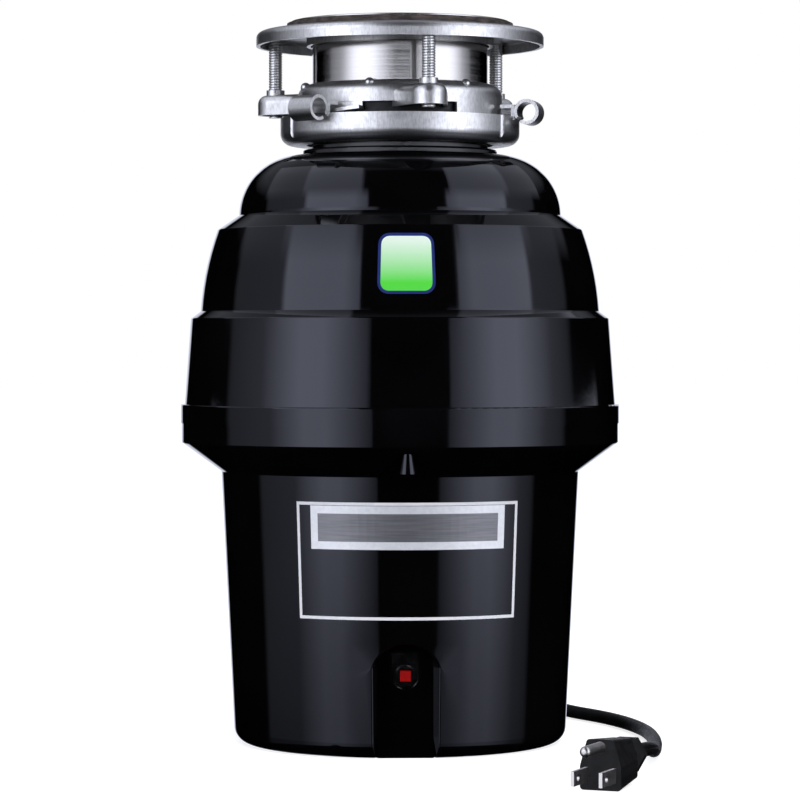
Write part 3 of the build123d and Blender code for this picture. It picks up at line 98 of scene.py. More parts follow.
def vary_gloss(finish, pattern, roughness, reach=pattern_reach):
    """Roughness that goes from its first to its second value in the same way."""
    tree = finish.node_tree
    spread = add_node(tree, "ShaderNodeMapRange", {
        "Value": pattern, "From Min": reach[0], "From Max": reach[1],
        "To Min": roughness[0], "To Max": roughness[1]})
    tree.links.new(spread.outputs["Result"], shader_of(finish).inputs["Roughness"])


def emboss(finish, pattern, depth, strength=1.0):
    """Relief of the pattern, depth metres deep."""
    tree = finish.node_tree
    bump = add_node(tree, "ShaderNodeBump", {
        "Height": pattern, "Distance": depth, "Strength": strength})
    tree.links.new(bump.outputs["Normal"], shader_of(finish).inputs["Normal"])


def dress(finish, *names):
    for name in names:
        node[name].data.materials.clear()
        node[name].data.materials.append(finish)


sprayed_black = new_finish("sprayed_black", metallic=0.0, roughness=0.4)
tint(sprayed_black, grain(sprayed_black, size=0.02),
     dark=(0.020, 0.020, 0.022), light=(0.032, 0.032, 0.034))
emboss(sprayed_black, grain(sprayed_black, size=0.0009), depth=0.00005)
dress(sprayed_black, "motor_can")

cast_aluminium = new_finish("cast_aluminium", metallic=1.0, roughness=0.5)
tint(cast_aluminium, grain(cast_aluminium, size=0.012),
     dark=(0.50, 0.51, 0.52), light=(0.66, 0.67, 0.68))
vary_gloss(cast_aluminium, grain(cast_aluminium, size=0.006), roughness=(0.38, 0.6))
emboss(cast_aluminium, grain(cast_aluminium, size=0.0014), depth=0.0001)
dress(cast_aluminium, "lower_end_bell", "drain_chamber")

bright_zinc = new_finish("bright_zinc", metallic=1.0, roughness=0.28)
tint(bright_zinc, grain(bright_zinc, size=0.003), dark=(0.56, 0.57, 0.58), light=(0.70, 0.70, 0.70))
vary_gloss(bright_zinc, grain(bright_zinc, size=0.0015), roughness=(0.2, 0.36))
dress(bright_zinc, "motor_bolts", "chamber_bolts", "shell_screws", "cover_screws")


# Magnets, armature and winding: ferrite arcs in the can, a stack of lacquered sheet on the
# ground steel shaft and copper wire through its slots, with the copper bars of the commutator
# below. The shaft turns in two steel bearings.
def bands(finish, size, axis):
    """Even stripes across one axis, size metres apart, as stacked sheet or wound wire has."""
    tree = finish.node_tree
    place = add_node(tree, "ShaderNodeTexCoord", {})
    unscaled_wave = pi / 10
    wave = add_node(tree, "ShaderNodeTexWave", {
        "Vector": place.outputs["Object"], "Scale": unscaled_wave / size}, bands_direction=axis)
    return wave.outputs["Fac"]


stripe_reach = (0.2, 0.8)

ferrite = new_finish("ferrite", metallic=0.0, roughness=0.7)
tint(ferrite, grain(ferrite, size=0.002), dark=(0.035, 0.035, 0.038), light=(0.06, 0.06, 0.062))
emboss(ferrite, grain(ferrite, size=0.0006), depth=0.00006)
dress(ferrite, "field_magnets")

core_sheet = new_finish("core_sheet", metallic=0.8, roughness=0.42)
sheet_edges = bands(core_sheet, size=0.0007, axis="Z")
tint(core_sheet, sheet_edges, dark=(0.16, 0.15, 0.15), light=(0.30, 0.29, 0.28), reach=stripe_reach)
emboss(core_sheet, sheet_edges, depth=0.00006)
dress(core_sheet, "rotor_core")

copper_wire = new_finish("copper_wire", metallic=1.0, roughness=0.3)
tint(copper_wire, grain(copper_wire, size=0.0012, stretch=(1, 1, 6)),
     dark=(0.50, 0.20, 0.09), light=(0.74, 0.38, 0.20))
emboss(copper_wire, grain(copper_wire, size=0.0009, stretch=(1, 1, 14)), depth=0.0002)
dress(copper_wire, "rotor_winding")

copper_bar = new_finish("copper_bar", metallic=1.0, roughness=0.24)
tint(copper_bar, grain(copper_bar, size=0.0007, stretch=(9, 9, 1)),
     dark=(0.62, 0.30, 0.15), light=(0.80, 0.44, 0.25))
dress(copper_bar, "commutator")

ground_steel = new_finish("ground_steel", metallic=1.0, roughness=0.2)
shaft_lines = grain(ground_steel, size=0.0008, stretch=(6, 6, 1))
tint(ground_steel, shaft_lines, dark=(0.55, 0.55, 0.57), light=(0.70, 0.70, 0.72))
vary_gloss(ground_steel, shaft_lines, roughness=(0.14, 0.28))
dress(ground_steel, "motor_shaft", "upper_bearing", "lower_bearing")

# Brushes: carbon blocks in stamped brass boxes on both sides of the commutator, pushed on to
# it by coiled springs of steel wire.
stamped_brass = new_finish("stamped_brass", metallic=1.0, roughness=0.3)
tint(stamped_brass, grain(stamped_brass, size=0.004), dark=(0.58, 0.42, 0.16), light=(0.74, 0.58, 0.28))
dress(stamped_brass, "brush_holders")

carbon = new_finish("carbon", metallic=0.0, roughness=0.62)
tint(carbon, grain(carbon, size=0.0008), dark=(0.020, 0.020, 0.021), light=(0.045, 0.045, 0.046))
dress(carbon, "brushes")

spring_wire = new_finish("spring_wire", metallic=1.0, roughness=0.32)
spring_turns = bands(spring_wire, size=0.0012, axis="X")
tint(spring_wire, spring_turns, dark=(0.14, 0.14, 0.15), light=(0.42, 0.42, 0.44), reach=stripe_reach)
emboss(spring_wire, spring_turns, depth=0.0003)
dress(spring_wire, "brush_springs")

# Rectifier and overload protector: moulded in black plastic, satin on the rectifier and smooth
# on the protector, which stands behind the slot in the foot recess.
satin_black = new_finish("satin_black", metallic=0.0, roughness=0.34)
tint(satin_black, grain(satin_black, size=0.03),
     dark=(0.010, 0.010, 0.011), light=(0.018, 0.018, 0.020))
vary_gloss(satin_black, grain(satin_black, size=0.004), roughness=(0.26, 0.42))
emboss(satin_black, grain(satin_black, size=0.0007), depth=0.00003)
dress(satin_black, "rectifier")

smooth_black = new_finish("smooth_black", metallic=0.0, roughness=0.12)
tint(smooth_black, grain(smooth_black, size=0.006),
     dark=(0.002, 0.002, 0.002), light=(0.004, 0.004, 0.004))
vary_gloss(smooth_black, grain(smooth_black, size=0.003), roughness=(0.09, 0.15))
dress(smooth_black, "overload_protector")

# Hopper: the grinding chamber under the upper shell, moulded in glass-filled black plastic. Its
# neck stands out of the shell, polished where the splash guard grips it.
glossy_neck = new_finish("glossy_neck", metallic=0.0, roughness=0.1)
tint(glossy_neck, grain(glossy_neck, size=0.03),
     dark=(0.004, 0.004, 0.005), light=(0.008, 0.008, 0.009))
vary_gloss(glossy_neck, grain(glossy_neck, size=0.008), roughness=(0.07, 0.14))
emboss(glossy_neck, grain(glossy_neck, size=0.003), depth=0.00002, strength=0.4)
dress(glossy_neck, "hopper")

# Grinding parts: turntable, swivel impellers and the toothed ring round them, stamped from
# stainless sheet and polished by use, with a locking nut on the shaft's end.
ground_stainless = new_finish("ground_stainless", metallic=1.0, roughness=0.22)
wear_marks = grain(ground_stainless, size=0.0016, stretch=(5, 1, 1))
tint(ground_stainless, wear_marks, dark=(0.56, 0.56, 0.56), light=(0.68, 0.68, 0.67))
vary_gloss(ground_stainless, wear_marks, roughness=(0.18, 0.28))
emboss(ground_stainless, grain(ground_stainless, size=0.0009, stretch=(8, 1, 1)), depth=0.000005)
dress(ground_stainless, "shredder_ring", "turntable", "turntable_nut", "impeller_pins",
      "impeller_a", "impeller_b")

# Rubber parts: the shaft seal, the joint gasket, the splash guard in the neck and the bush
# that holds the cord, all moulded in black rubber with a dull skin.
black_rubber = new_finish("black_rubber", metallic=0.0, roughness=0.55)
tint(black_rubber, grain(black_rubber, size=0.01),
     dark=(0.010, 0.010, 0.011), light=(0.022, 0.022, 0.023))
vary_gloss(black_rubber, grain(black_rubber, size=0.003), roughness=(0.46, 0.66))
emboss(black_rubber, grain(black_rubber, size=0.0006), depth=0.00004)
dress(black_rubber, "shaft_seal", "chamber_gasket", "splash_guard", "strain_relief")

# Outer shells: two gloss black mouldings that meet at the band, with the high polish of the
# mould, a faint orange peel and a few wiped marks that only the gloss shows.
gloss_black = new_finish("gloss_black", metallic=0.0, roughness=0.04)
set_sockets(gloss_black, {"IOR": 1.5, "Specular Tint": (0.86, 0.88, 1.0, 1)})
tint(gloss_black, grain(gloss_black, size=0.05),
     dark=(0.0010, 0.0010, 0.0012), light=(0.0018, 0.0018, 0.0020))
vary_gloss(gloss_black, grain(gloss_black, size=0.03, stretch=(1, 1, 2), detail=5), roughness=(0.03, 0.06))
emboss(gloss_black, grain(gloss_black, size=0.004), depth=0.00002, strength=0.25)
dress(gloss_black, "upper_shell", "lower_shell")

# Reset button: a small cap moulded in red plastic. It springs out of the overload protector
# and is pressed back by hand.
button_red = new_finish("button_red", metallic=0.0, roughness=0.3)
set_sockets(button_red, {"Specular IOR Level": 0.12})
tint(button_red, grain(button_red, size=0.002), dark=(0.36, 0.001, 0.0008), light=(0.44, 0.002, 0.0015))
emboss(button_red, grain(button_red, size=0.0006), depth=0.00002)
dress(button_red, "reset_button")

# Sink flange: a deep-drawn stainless sleeve with a rolled rim, turned and polished, so that
# fine lines run round it.
polished_stainless = new_finish("polished_stainless", metallic=1.0, roughness=0.12)
turned_lines = grain(polished_stainless, size=0.0006, stretch=(90, 90, 1))
tint(polished_stainless, turned_lines, dark=(0.52, 0.509, 0.49), light=(0.55, 0.538, 0.518))
vary_gloss(polished_stainless, turned_lines, roughness=(0.10, 0.14))
dress(polished_stainless, "sink_flange")

# Fibre gasket: a flat ring pressed from dark brown paper fibre, that lies loose between the
# backup flange and the sink.
pressed_fibre = new_finish("pressed_fibre", metallic=0.0, roughness=0.85)
fibre_lie = (2, 2, 0.6)
tint(pressed_fibre, grain(pressed_fibre, size=0.0022, stretch=fibre_lie, detail=6),
     dark=(0.030, 0.024, 0.020), light=(0.10, 0.080, 0.068))
emboss(pressed_fibre, grain(pressed_fibre, size=0.0011, stretch=fibre_lie, detail=6), depth=0.0003)
dress(pressed_fibre, "fibre_gasket")

# Backup flange, mounting rings and wiring cover: pressed sheet steel with a satin zinc plate.
# The press leaves fine upright lines on the skirts, and the plate has dulled in small spots.
satin_zinc = new_finish("satin_zinc", metallic=1.0, roughness=0.35)
press_lines = grain(satin_zinc, size=0.0004, stretch=(1, 1, 8), detail=4)
dull_spots = grain(satin_zinc, size=0.0016, stretch=(1, 1, 1.5), detail=6)
worn_zinc = add_node(satin_zinc.node_tree, "ShaderNodeMix", {
    0: 0.5, 2: press_lines, 3: dull_spots}).outputs[0]
tint(satin_zinc, worn_zinc, dark=(0.62, 0.62, 0.61), light=(0.82, 0.82, 0.805), reach=(0.36, 0.60))
vary_gloss(satin_zinc, worn_zinc, roughness=(0.40, 0.30), reach=(0.38, 0.62))
emboss(satin_zinc, press_lines, depth=0.000008)
dress(satin_zinc, "backup_flange", "upper_mount_ring", "lower_mount_ring", "wiring_cover")

# Snap ring: a split ring of dark spring wire. It sits in a groove round the sleeve and carries
# the upper mounting ring.
spring_ring = new_finish("spring_ring", metallic=1.0, roughness=0.34)
tint(spring_ring, grain(spring_ring, size=0.004), dark=(0.26, 0.26, 0.28), light=(0.42, 0.42, 0.44))
dress(spring_ring, "snap_ring")


# Mounting screws: three quarter-inch screws, rolled thread from end to end, that turn in the
# ears of the upper ring and press the backup flange up against the sink.
def put_piece(name, maker, finish, body):
    mesh = bpy.data.meshes.new(name)
    maker.to_mesh(mesh)
    maker.free()
    mesh.materials.append(finish)
    piece = bpy.data.objects.new(name, mesh)
    bpy.context.scene.collection.objects.link(piece)
    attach(piece, body)
    return piece


def polar(r, deg, z):
    return Vector((r * cos(radians(deg)), r * sin(radians(deg)), z))


def cut_across(maker, place, normal, drop_outer=False):
    bmesh.ops.bisect_plane(maker, geom=maker.verts[:] + maker.edges[:] + maker.faces[:],
                           plane_co=place, plane_no=normal, clear_outer=drop_outer)


thread_pitch = 0.00127
thread_crest_r, thread_root_r = 0.00325, 0.0027
crest_from, crest_to = 0.25, 0.70
steps_a_turn, spare_turns = 24, 3
weld_gap = 1e-6
screw_low_z, screw_high_z = 0.2996, 0.3374
screw_circle_r = 0.0635
screw_angles = (160, 280, 40)

thread_outline = ((thread_root_r, 0), (thread_crest_r, crest_from),
                  (thread_crest_r, crest_to), (thread_root_r, 1))
thread_low_z = screw_low_z - thread_pitch
turns = int((screw_high_z - screw_low_z) / thread_pitch) + spare_turns
threads = bmesh.new()
for angle in screw_angles:
    place = polar(screw_circle_r, angle, 0)
    screw = bmesh.new()
    profile = [screw.verts.new(place + Vector((r, 0, thread_low_z + thread_pitch * share)))
               for r, share in thread_outline]
    edges = [screw.edges.new(pair) for pair in zip(profile, profile[1:])]
    bmesh.ops.spin(screw, geom=profile + edges, cent=place, axis=(0, 0, 1),
                   dvec=(0, 0, thread_pitch / steps_a_turn), angle=2 * pi * turns,
                   steps=steps_a_turn * turns, use_merge=False)
    bmesh.ops.remove_doubles(screw, verts=screw.verts, dist=weld_gap)
    for z, way in ((screw_low_z, -1), (screw_high_z, 1)):
        cut_across(screw, (0, 0, z), (0, 0, way), drop_outer=True)
        rim = [e for e in screw.edges
               if e.is_boundary and all(abs(v.co.z - z) < weld_gap for v in e.verts)]
        bmesh.ops.edgeloop_fill(screw, edges=rim)
    bmesh.ops.recalc_face_normals(screw, faces=screw.faces)
    part = bpy.data.meshes.new("screw")
    screw.to_mesh(part)
    screw.free()
    threads.from_mesh(part)
    bpy.data.meshes.remove(part)

rolled_zinc = new_finish("rolled_zinc", metallic=1.0, roughness=0.32)
tint(rolled_zinc, grain(rolled_zinc, size=0.003), dark=(0.66, 0.66, 0.65), light=(0.78, 0.78, 0.77))
mounting_screws = put_piece("threaded_screws", threads, rolled_zinc, "clamp")
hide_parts("mounting_screws")

# Cord: black vinyl lead with moulded grooves along it. It leaves the bush low at the back,
# lies in a tied coil behind the body and comes round its right side to the plug.
cord_d, cord_length = 0.0064, 0.956
exit_deg, exit_r, exit_z = 115, 0.1046, 0.016
lead_run = 0.024
coil_middle = Vector((-0.016, 0.166, 0.0048))
coil_out_r = 0.038
coil_pitch, coil_rise = 0.0072, 0.0071
climb_from, climb_to, coil_end = 360, 540, 855
coil_step, heading_step = 22.5, 0.01
coil_stub = 0.0064
spline_pull_in = 1.0195
tail_run, tail_stub = 0.044, 0.024
floor_z = 0.0034
tail_bends = ((0.084, 0.104, floor_z), (0.1075, 0.062, floor_z), (0.119, 0.014, floor_z),
              (0.1195, -0.034, floor_z), (0.1135, -0.082, floor_z))
plug_face = Vector((0.0787, -0.190, 0.0066))
plug_dir = polar(1, 245, 0)
plug_axis_h, plug_length = 0.005, 0.042
plug_rear = plug_face + Vector((0, 0, plug_axis_h)) - plug_dir * plug_length
groove_apart, groove_edge, groove_depth = 0.24, 0.02, 0.0003


def coil_point(turn, swell=1.0):
    """Point of the coil after turn degrees: inwards, up one layer and outwards again."""
    climb = min(max((turn - climb_from) / (climb_to - climb_from), 0), 1)
    shrink = min(turn, climb_from) / 360 + climb * (1 - climb) / 2
    grow = max(turn - climb_to, 0) / 360
    r = (coil_out_r - coil_pitch * (shrink - grow)) * swell
    return coil_middle + polar(r, 180 - turn, coil_rise * climb * climb * (3 - 2 * climb))


def coil_heading(turn):
    return (coil_point(turn + heading_step) - coil_point(turn - heading_step)).normalized()


exit_point = polar(exit_r, exit_deg, exit_z)
route = [exit_point, exit_point + polar(lead_run, exit_deg, 0)]
route.append(coil_point(0) - coil_heading(2 * heading_step) * (lead_run + coil_stub))
route += [coil_point(coil_step * n, spline_pull_in) for n in range(1, int(coil_end / coil_step))]
route.append(coil_point(coil_end) + coil_heading(coil_end) * (tail_run + coil_stub))
route += [Vector(p) for p in tail_bends]
route += [plug_rear - plug_dir * tail_stub, plug_rear]

cord_line = bpy.data.curves.new("cord", "CURVE")
cord_line.dimensions = "3D"
cord_line.bevel_depth = cord_d / 2
cord_line.bevel_resolution = 6
cord_line.resolution_u = 8
cord_line.use_fill_caps = True
spline = cord_line.splines.new("NURBS")
spline.points.add(len(route) - 1)
for point, place in zip(spline.points, route):
    point.co = (*place, 1)
spline.order_u = 3
spline.use_endpoint_u = True

cord_vinyl = new_finish("cord_vinyl", metallic=0.0, roughness=0.42)
set_sockets(cord_vinyl, {"Specular IOR Level": 0.08})
tint(cord_vinyl, grain(cord_vinyl, size=0.004), dark=(0.006, 0.006, 0.006), light=(0.011, 0.011, 0.011))
vary_gloss(cord_vinyl, grain(cord_vinyl, size=0.002), roughness=(0.36, 0.5))
cord_tree = cord_vinyl.node_tree
round_cord = add_node(cord_tree, "ShaderNodeSeparateXYZ", {
    "Vector": add_node(cord_tree, "ShaderNodeTexCoord", {}).outputs["UV"]})
from_groove = add_node(cord_tree, "ShaderNodeMath", {
    0: round_cord.outputs["Y"], 1: groove_apart / 2}, operation="PINGPONG")
groove = add_node(cord_tree, "ShaderNodeMapRange", {
    "Value": from_groove.outputs[0], "From Min": 0.0, "From Max": groove_edge})
emboss(cord_vinyl, groove.outputs["Result"], depth=groove_depth)
cord_line.materials.append(cord_vinyl)
cord = bpy.data.objects.new("cord", cord_line)
bpy.context.scene.collection.objects.link(cord)
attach(cord, "housing")
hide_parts("cord_lead", "cord_coil", "cord_tail")

# Plug: a grounded plug moulded on to the cord's end in dull vinyl, with two flat blades and a
# round ground pin, all nickelled. The polished shell doesn't mirror it or the cord.
plug_vinyl = new_finish("plug_vinyl", metallic=0.0, roughness=0.5)
set_sockets(plug_vinyl, {"Specular IOR Level": 0.25})
tint(plug_vinyl, grain(plug_vinyl, size=0.006),
     dark=(0.0045, 0.0045, 0.0042), light=(0.008, 0.008, 0.0075))
vary_gloss(plug_vinyl, grain(plug_vinyl, size=0.003), roughness=(0.42, 0.56))
emboss(plug_vinyl, grain(plug_vinyl, size=0.0007), depth=0.00005)
dress(plug_vinyl, "plug_body")

nickel_plate = new_finish("nickel_plate", metallic=1.0, roughness=0.36)
nickel_spots = grain(nickel_plate, size=0.003)
tint(nickel_plate, nickel_spots, dark=(0.66, 0.64, 0.60), light=(0.74, 0.72, 0.68))
vary_gloss(nickel_plate, nickel_spots, roughness=(0.33, 0.40))
dress(nickel_plate, "plug_blades", "plug_ground_pin")
for piece in (cord, node["plug_body"], node["plug_blades"], node["plug_ground_pin"]):
    piece.visible_glossy = False

# Cord tie: a black nylon strap pulled tight round both layers of the coil, with its square
# head on top and the short end standing out of it.
strap_t, strap_w, strap_gap = 0.0009, 0.009, 0.0006
strap_corner_r = 0.002
strap_rib = 0.0012
tie_turn = 270
head_size = (0.006, 0.0065, 0.0028)
end_size = (0.0045, 0.011, 0.0010)
head_bevel = 0.0003
tie_middle = (coil_point(tie_turn) + coil_point(tie_turn + 360)) / 2
half_y = cord_d / 2 + strap_gap
half_z = half_y + coil_rise / 2

strap = bmesh.new()
corners = ((-half_y, -half_z), (half_y, -half_z), (half_y, half_z), (-half_y, half_z))
strap.faces.new([strap.verts.new(tie_middle + Vector((-strap_w / 2, y, z))) for y, z in corners])
bmesh.ops.bevel(strap, geom=strap.verts[:], offset=strap_corner_r, offset_type="OFFSET", segments=5,
                profile=0.5, affect="VERTICES", material=-1)
rim = strap.edges[:]
bmesh.ops.delete(strap, geom=strap.faces[:], context="FACES_ONLY")
made = bmesh.ops.extrude_edge_only(strap, edges=rim)["geom"]
bmesh.ops.translate(strap, verts=[v for v in made if isinstance(v, bmesh.types.BMVert)],
                    vec=(strap_w, 0, 0))
bmesh.ops.recalc_face_normals(strap, faces=strap.faces)
bmesh.ops.solidify(strap, geom=strap.faces[:], thickness=-strap_t)
head_z = tie_middle.z + half_z + strap_t + head_size[2] / 2
for size, shift_y in ((head_size, 0), (end_size, -half_y)):
    block = bmesh.ops.create_cube(strap, size=1)["verts"]
    bmesh.ops.scale(strap, verts=block, vec=size)
    bmesh.ops.translate(strap, verts=block, vec=(tie_middle.x, tie_middle.y + shift_y, head_z))
    edges = {e for v in block for e in v.link_edges}
    bmesh.ops.bevel(strap, geom=list(edges), offset=head_bevel, offset_type="OFFSET", segments=2,
                    profile=0.5, affect="EDGES", material=-1)
bmesh.ops.recalc_face_normals(strap, faces=strap.faces)

strap_nylon = new_finish("strap_nylon", metallic=0.0, roughness=0.45)
tint(strap_nylon, grain(strap_nylon, size=0.003),
     dark=(0.010, 0.010, 0.011), light=(0.018, 0.018, 0.019))
emboss(strap_nylon, bands(strap_nylon, size=strap_rib, axis="Y"), depth=0.0001)
cord_strap = put_piece("cord_strap", strap, strap_nylon, "housing")
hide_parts("cord_tie")

# Labels: printed film stuck on the front, left blank. A pale line frames the large one on the
# bucket, with a silver plate at its head, and a small green sticker sits on the second tier.
front_deg = -90
label_strips, label_rows = 24, 6
label_lift, label_t = 0.00016, 0.0001
bucket_turn_deg, sticker_turn_deg = 0.8, -0.2
bucket_foot_r, bucket_top_r, bucket_top_z = 0.0791, 0.0856, 0.1293
tier_arc = ((0.0955, 0.2056), (0.0929, 0.2250), (0.0874, 0.2445))
fade_low_z, fade_high_z = 0.218, 0.238


def bucket_radius(z):
    return bucket_foot_r + (bucket_top_r - bucket_foot_r) * z / bucket_top_z


def tier_radius(z):
    """Radius of the second tier's curved wall, through three of its points."""
    (r0, z0), (r1, z1), (r2, z2) = tier_arc
    return (r0 * (z - z1) * (z - z2) / ((z0 - z1) * (z0 - z2))
            + r1 * (z - z0) * (z - z2) / ((z1 - z0) * (z1 - z2))
            + r2 * (z - z0) * (z - z1) / ((z2 - z0) * (z2 - z1)))


def bent_label(name, turn_deg, width, reach_z, corner_r, border, radius_at, finishes, open_middle=False):
    """A flat rectangle with a border, its corners rounded, cut in strips and bent round the axis."""
    low_z, high_z = reach_z
    label = bmesh.new()
    corners = ((-width / 2, low_z), (width / 2, low_z), (width / 2, high_z), (-width / 2, high_z))
    label.faces.new([label.verts.new((x, 0, z)) for x, z in corners])
    if corner_r:
        bmesh.ops.bevel(label, geom=label.verts[:], offset=corner_r, offset_type="OFFSET", segments=5,
                        profile=0.5, affect="VERTICES", material=-1)
    label.normal_update()
    middle = label.faces[:]
    bmesh.ops.inset_region(label, faces=middle, thickness=border, use_boundary=True,
                           use_even_offset=True)
    for face in middle:
        face.material_index = 1
    if open_middle:
        bmesh.ops.delete(label, geom=middle, context="FACES")
    for n in range(1, label_strips):
        cut_across(label, (width * (n / label_strips - 0.5), 0, 0), (1, 0, 0))
    for n in range(1, label_rows):
        cut_across(label, (0, 0, low_z + (high_z - low_z) * n / label_rows), (0, 0, 1))
    middle_r = radius_at((low_z + high_z) / 2)
    for vert in label.verts:
        turn = front_deg + turn_deg + degrees(vert.co.x / middle_r)
        vert.co = polar(radius_at(vert.co.z) + label_lift, turn, vert.co.z)
    bmesh.ops.recalc_face_normals(label, faces=label.faces)
    if sum(face.normal.y for face in label.faces) > 0:
        bmesh.ops.reverse_faces(label, faces=label.faces)
    bmesh.ops.solidify(label, geom=label.faces[:], thickness=label_t)
    piece = put_piece(name, label, finishes[0], "housing")
    piece.visible_glossy = False
    for finish in finishes[1:]:
        piece.data.materials.append(finish)


print_white = new_finish("print_white", metallic=0.0, roughness=0.3)
tint(print_white, grain(print_white, size=0.004), dark=(0.90, 0.90, 0.90), light=(0.96, 0.96, 0.96))
plate_edge = new_finish("plate_edge", metallic=0.3, roughness=0.35)
tint(plate_edge, grain(plate_edge, size=0.002), dark=(0.86, 0.87, 0.88), light=(0.93, 0.94, 0.95))
plate_silver = new_finish("plate_silver", metallic=0.7, roughness=0.4)
tint(plate_silver, grain(plate_silver, size=0.0006, stretch=(30, 30, 1)),
     dark=(0.20, 0.20, 0.21), light=(0.27, 0.27, 0.28))
sticker_blue = new_finish("sticker_blue", metallic=0.0, roughness=0.3)
tint(sticker_blue, grain(sticker_blue, size=0.004),
     dark=(0.010, 0.022, 0.13), light=(0.016, 0.030, 0.17))
sticker_green = new_finish("sticker_green", metallic=0.0, roughness=0.3)
green_tree = sticker_green.node_tree
up_sticker = add_node(green_tree, "ShaderNodeSeparateXYZ", {
    "Vector": add_node(green_tree, "ShaderNodeTexCoord", {}).outputs["Object"]})
fade = add_node(green_tree, "ShaderNodeMapRange", {
    "Value": up_sticker.outputs["Z"], "From Min": fade_low_z, "From Max": fade_high_z})
tint(sticker_green, fade.outputs["Result"],
     dark=(0.10, 0.75, 0.06), light=(0.80, 0.92, 0.78), reach=(0.0, 1.0))

bent_label("label_line", bucket_turn_deg, width=0.1072, reach_z=(0.0640, 0.1178), corner_r=0.0,
           border=0.0014, radius_at=bucket_radius, finishes=[print_white, print_white], open_middle=True)
bent_label("label_plate", bucket_turn_deg, width=0.0934, reach_z=(0.0962, 0.1162), corner_r=0.0,
           border=0.0036, radius_at=bucket_radius, finishes=[plate_edge, plate_silver])
bent_label("tier_sticker", sticker_turn_deg, width=0.0260, reach_z=(0.2128, 0.2406), corner_r=0.0050,
           border=0.0014, radius_at=tier_radius, finishes=[sticker_blue, sticker_green])

# Camera: level, a little below the middle of the housing's upper half, far off with a long
# lens, as a product is photographed.
camera_far, camera_z = 1.660, 0.191
camera_turn = radians(2.0)
camera_data = bpy.data.cameras.new("camera")
camera_data.sensor_width = 36
camera_data.lens = 155.7
camera_data.shift_y = -0.0725
camera = bpy.data.objects.new("camera", camera_data)
camera.location = (-camera_far * sin(camera_turn), -camera_far * cos(camera_turn), camera_z)
camera.rotation_euler = (pi / 2, 0, -camera_turn)
bpy.context.scene.collection.objects.link(camera)
bpy.context.scene.camera = camera

# Floor: a wide pale sweep that keeps the soft shadow. Polished parts don't mirror it, so
# that they show the panels of light down to their feet.
floor_half = 12
floor_lift = 0.78
floor_maker = bmesh.new()
bmesh.ops.create_grid(floor_maker, x_segments=1, y_segments=1, size=floor_half)
floor_mesh = bpy.data.meshes.new("floor")
floor_maker.to_mesh(floor_mesh)
floor_maker.free()
pale_floor = new_finish("pale_floor", metallic=0.0, roughness=0.9)
set_sockets(pale_floor, {"Base Color": (0.62, 0.62, 0.62, 1), "Specular IOR Level": 0.0,
                         "Emission Color": (1, 1, 1, 1)})
floor_tree = pale_floor.node_tree
seen = add_node(floor_tree, "ShaderNodeLightPath", {}).outputs["Is Camera Ray"]
lift = add_node(floor_tree, "ShaderNodeMath", {0: seen, 1: floor_lift}, operation="MULTIPLY")
floor_tree.links.new(lift.outputs[0], shader_of(pale_floor).inputs["Emission Strength"])
floor_mesh.materials.append(pale_floor)
floor = bpy.data.objects.new("floor", floor_mesh)
floor.visible_glossy = False
bpy.context.scene.collection.objects.link(floor)


# Studio light: the world holds two soft panels, left and right, with a dark gap between, a
# white wall behind and a dim ceiling. Angles are those that a wall of the object mirrors: round
# the front, and up by how far the wall leans back. The world is white to look at.
def side_panels(inner, edge, inner_soft, level, outer, outer_soft, glow, far_glow, reach, middle=0.0):
    """Light of both panels from left to right, with the weaker glow that reaches out past each."""
    stops = []
    for side, far in zip((-1, 1), reach):
        half = ((inner, middle), (inner + panel_edge_deg, edge), (inner + inner_soft, level),
                (outer - outer_soft, level), (outer, glow), (far, far_glow), (far + glow_edge_deg, 0))
        stops += [(panel_turn_deg + side * deg, light) for deg, light in half]
    return sorted(stops)


panel_colour = (0.95, 0.98, 1.13, 1)
panel_light = 1.1
panel_brightest = 4.2
panel_turn_deg = 3.3
panel_edge_deg, glow_edge_deg = 1, 4
upright_light = side_panels(inner=19, edge=0.28, inner_soft=25, level=1.75, outer=76, outer_soft=20,
                            glow=0.45, far_glow=0.22, reach=(104, 87))
ring_light = side_panels(inner=6, edge=panel_brightest, inner_soft=40, level=1.85, outer=80, outer_soft=24,
                         glow=0.5, far_glow=0.2, reach=(104, 104), middle=panel_brightest)
sleeve_light = side_panels(inner=10, edge=0.05, inner_soft=30, level=1.75, outer=92, outer_soft=24,
                           glow=0.6, far_glow=0.6, reach=(122, 122))
steep_light = side_panels(inner=21, edge=0.45, inner_soft=26, level=2.15, outer=84, outer_soft=24,
                          glow=0.5, far_glow=0.2, reach=(107, 97))
curved_light = side_panels(inner=27.5, edge=1.06, inner_soft=10, level=1.78, outer=77, outer_soft=3,
                           glow=0.4, far_glow=0.2, reach=(113, 103))
shoulder_light = side_panels(inner=31, edge=0.8, inner_soft=3, level=0.92, outer=82, outer_soft=3,
                             glow=0.5, far_glow=0.4, reach=(116, 114))
no_light = ((-180, 0), (180, 0))
# Each row: the lean in degrees at its top, the lean over which it blends there, its light.
panel_rows = ((0.3, 0.2, upright_light), (1.4, 0.1, ring_light), (2.95, 0.3, sleeve_light),
              (4.8, 0.4, steep_light), (18.5, 5.0, curved_light), (50, 0.6, shoulder_light),
              (90, 0.6, no_light))
foot_heights = ((-34, 0.0), (-28, 0.3), (-16, 0.3), (-11, 0.45), (-8, 0.85), (-3, 1.0))
wall_top, wall_sides = (0.30, 0.45), (0.955, 0.97)
ceiling_front = (-0.1, 0.1)
ceiling_light = 0.17
world = bpy.data.worlds.new("studio")
world.use_nodes = True
bpy.context.scene.world = world
sky = world.node_tree
way = add_node(sky, "ShaderNodeSeparateXYZ", {
    "Vector": add_node(sky, "ShaderNodeTexCoord", {}).outputs["Generated"]})


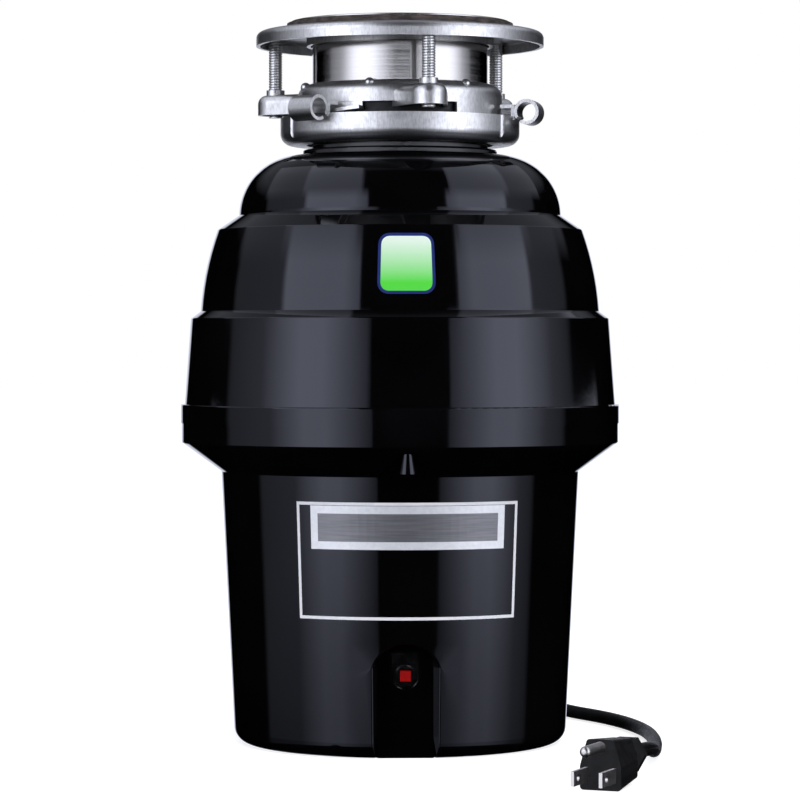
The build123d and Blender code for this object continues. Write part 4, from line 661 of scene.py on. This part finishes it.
def sums(operation, first, second=0.0, third=0.0):
    return add_node(sky, "ShaderNodeMath", {0: first, 1: second, 2: third}, operation=operation).outputs[0]


def rise(value, reach):
    """0 below the reach and 1 above it."""
    return add_node(sky, "ShaderNodeMapRange", {
        "Value": value, "From Min": reach[0], "From Max": reach[1]}).outputs["Result"]


def light_profile(factor, stops):
    ramp = add_node(sky, "ShaderNodeValToRGB", {"Fac": factor})
    while len(ramp.color_ramp.elements) < len(stops):
        ramp.color_ramp.elements.new(0.5)
    for element, (place, level) in zip(ramp.color_ramp.elements, stops):
        element.position = place
        element.color = (level, level, level, 1)
    return ramp.outputs["Color"]


towards = sums("SUBTRACT", 1.0, way.outputs["Y"])
azimuth = sums("MULTIPLY_ADD", sums("ARCTAN2", way.outputs["X"], towards), 1 / pi, 0.5)
lean = sums("ARCSINE", sums("DIVIDE", way.outputs["Z"], sums("SQRT", sums("MULTIPLY", towards, 2.0))))
height = sums("MULTIPLY_ADD", sums("ARCSINE", way.outputs["Z"]), 1 / pi, 0.5)
sides = None
for top_deg, blend_deg, stops in reversed(panel_rows):
    row = light_profile(azimuth, [(0.5 + deg / 360, level / panel_brightest) for deg, level in stops])
    above = rise(lean, (radians(top_deg - blend_deg), radians(top_deg + blend_deg)))
    sides = row if sides is None else add_node(
        sky, "ShaderNodeMix", {0: above, 2: row, 3: sides}, data_type="FLOAT").outputs[0]
levels = light_profile(height, [(0.5 + deg / 180, level) for deg, level in foot_heights])
panels = sums("MULTIPLY", sums("MULTIPLY", sides, levels), panel_light * panel_brightest)
overhead = rise(way.outputs["Z"], wall_top)
wall = sums("MULTIPLY", rise(way.outputs["Y"], wall_sides), sums("SUBTRACT", 1.0, overhead))
ceiling = sums("MULTIPLY", sums("MULTIPLY", overhead, rise(way.outputs["Y"], ceiling_front)), ceiling_light)
studio = sums("MAXIMUM", sums("MAXIMUM", panels, wall), ceiling)
dark_room = add_node(sky, "ShaderNodeBackground", {"Color": panel_colour, "Strength": studio})
white_room = add_node(sky, "ShaderNodeBackground", {"Color": (1, 1, 1, 1), "Strength": 1.0})
looked_at = add_node(sky, "ShaderNodeLightPath", {}).outputs["Is Camera Ray"]
mixed = add_node(sky, "ShaderNodeMixShader", {
    0: looked_at, 1: dark_room.outputs[0], 2: white_room.outputs[0]})
sky.links.new(mixed.outputs[0], sky.nodes["World Output"].inputs["Surface"])

# Overhead fill: one large soft lamp, high in front of the object, that lifts the dull parts.
# Polished parts don't mirror it.
fill_place, fill_aim = Vector((0.3, -0.9, 1.9)), Vector((0, 0, 0.1))
fill_data = bpy.data.lights.new("overhead_fill", "AREA")
fill_data.energy = 22
fill_data.size = 1.6
fill = bpy.data.objects.new("overhead_fill", fill_data)
fill.location = fill_place
fill.rotation_euler = (fill_aim - fill_place).to_track_quat("-Z", "Y").to_euler()
fill.visible_glossy = False
bpy.context.scene.collection.objects.link(fill)

bpy.context.scene.view_settings.view_transform = "Standard"
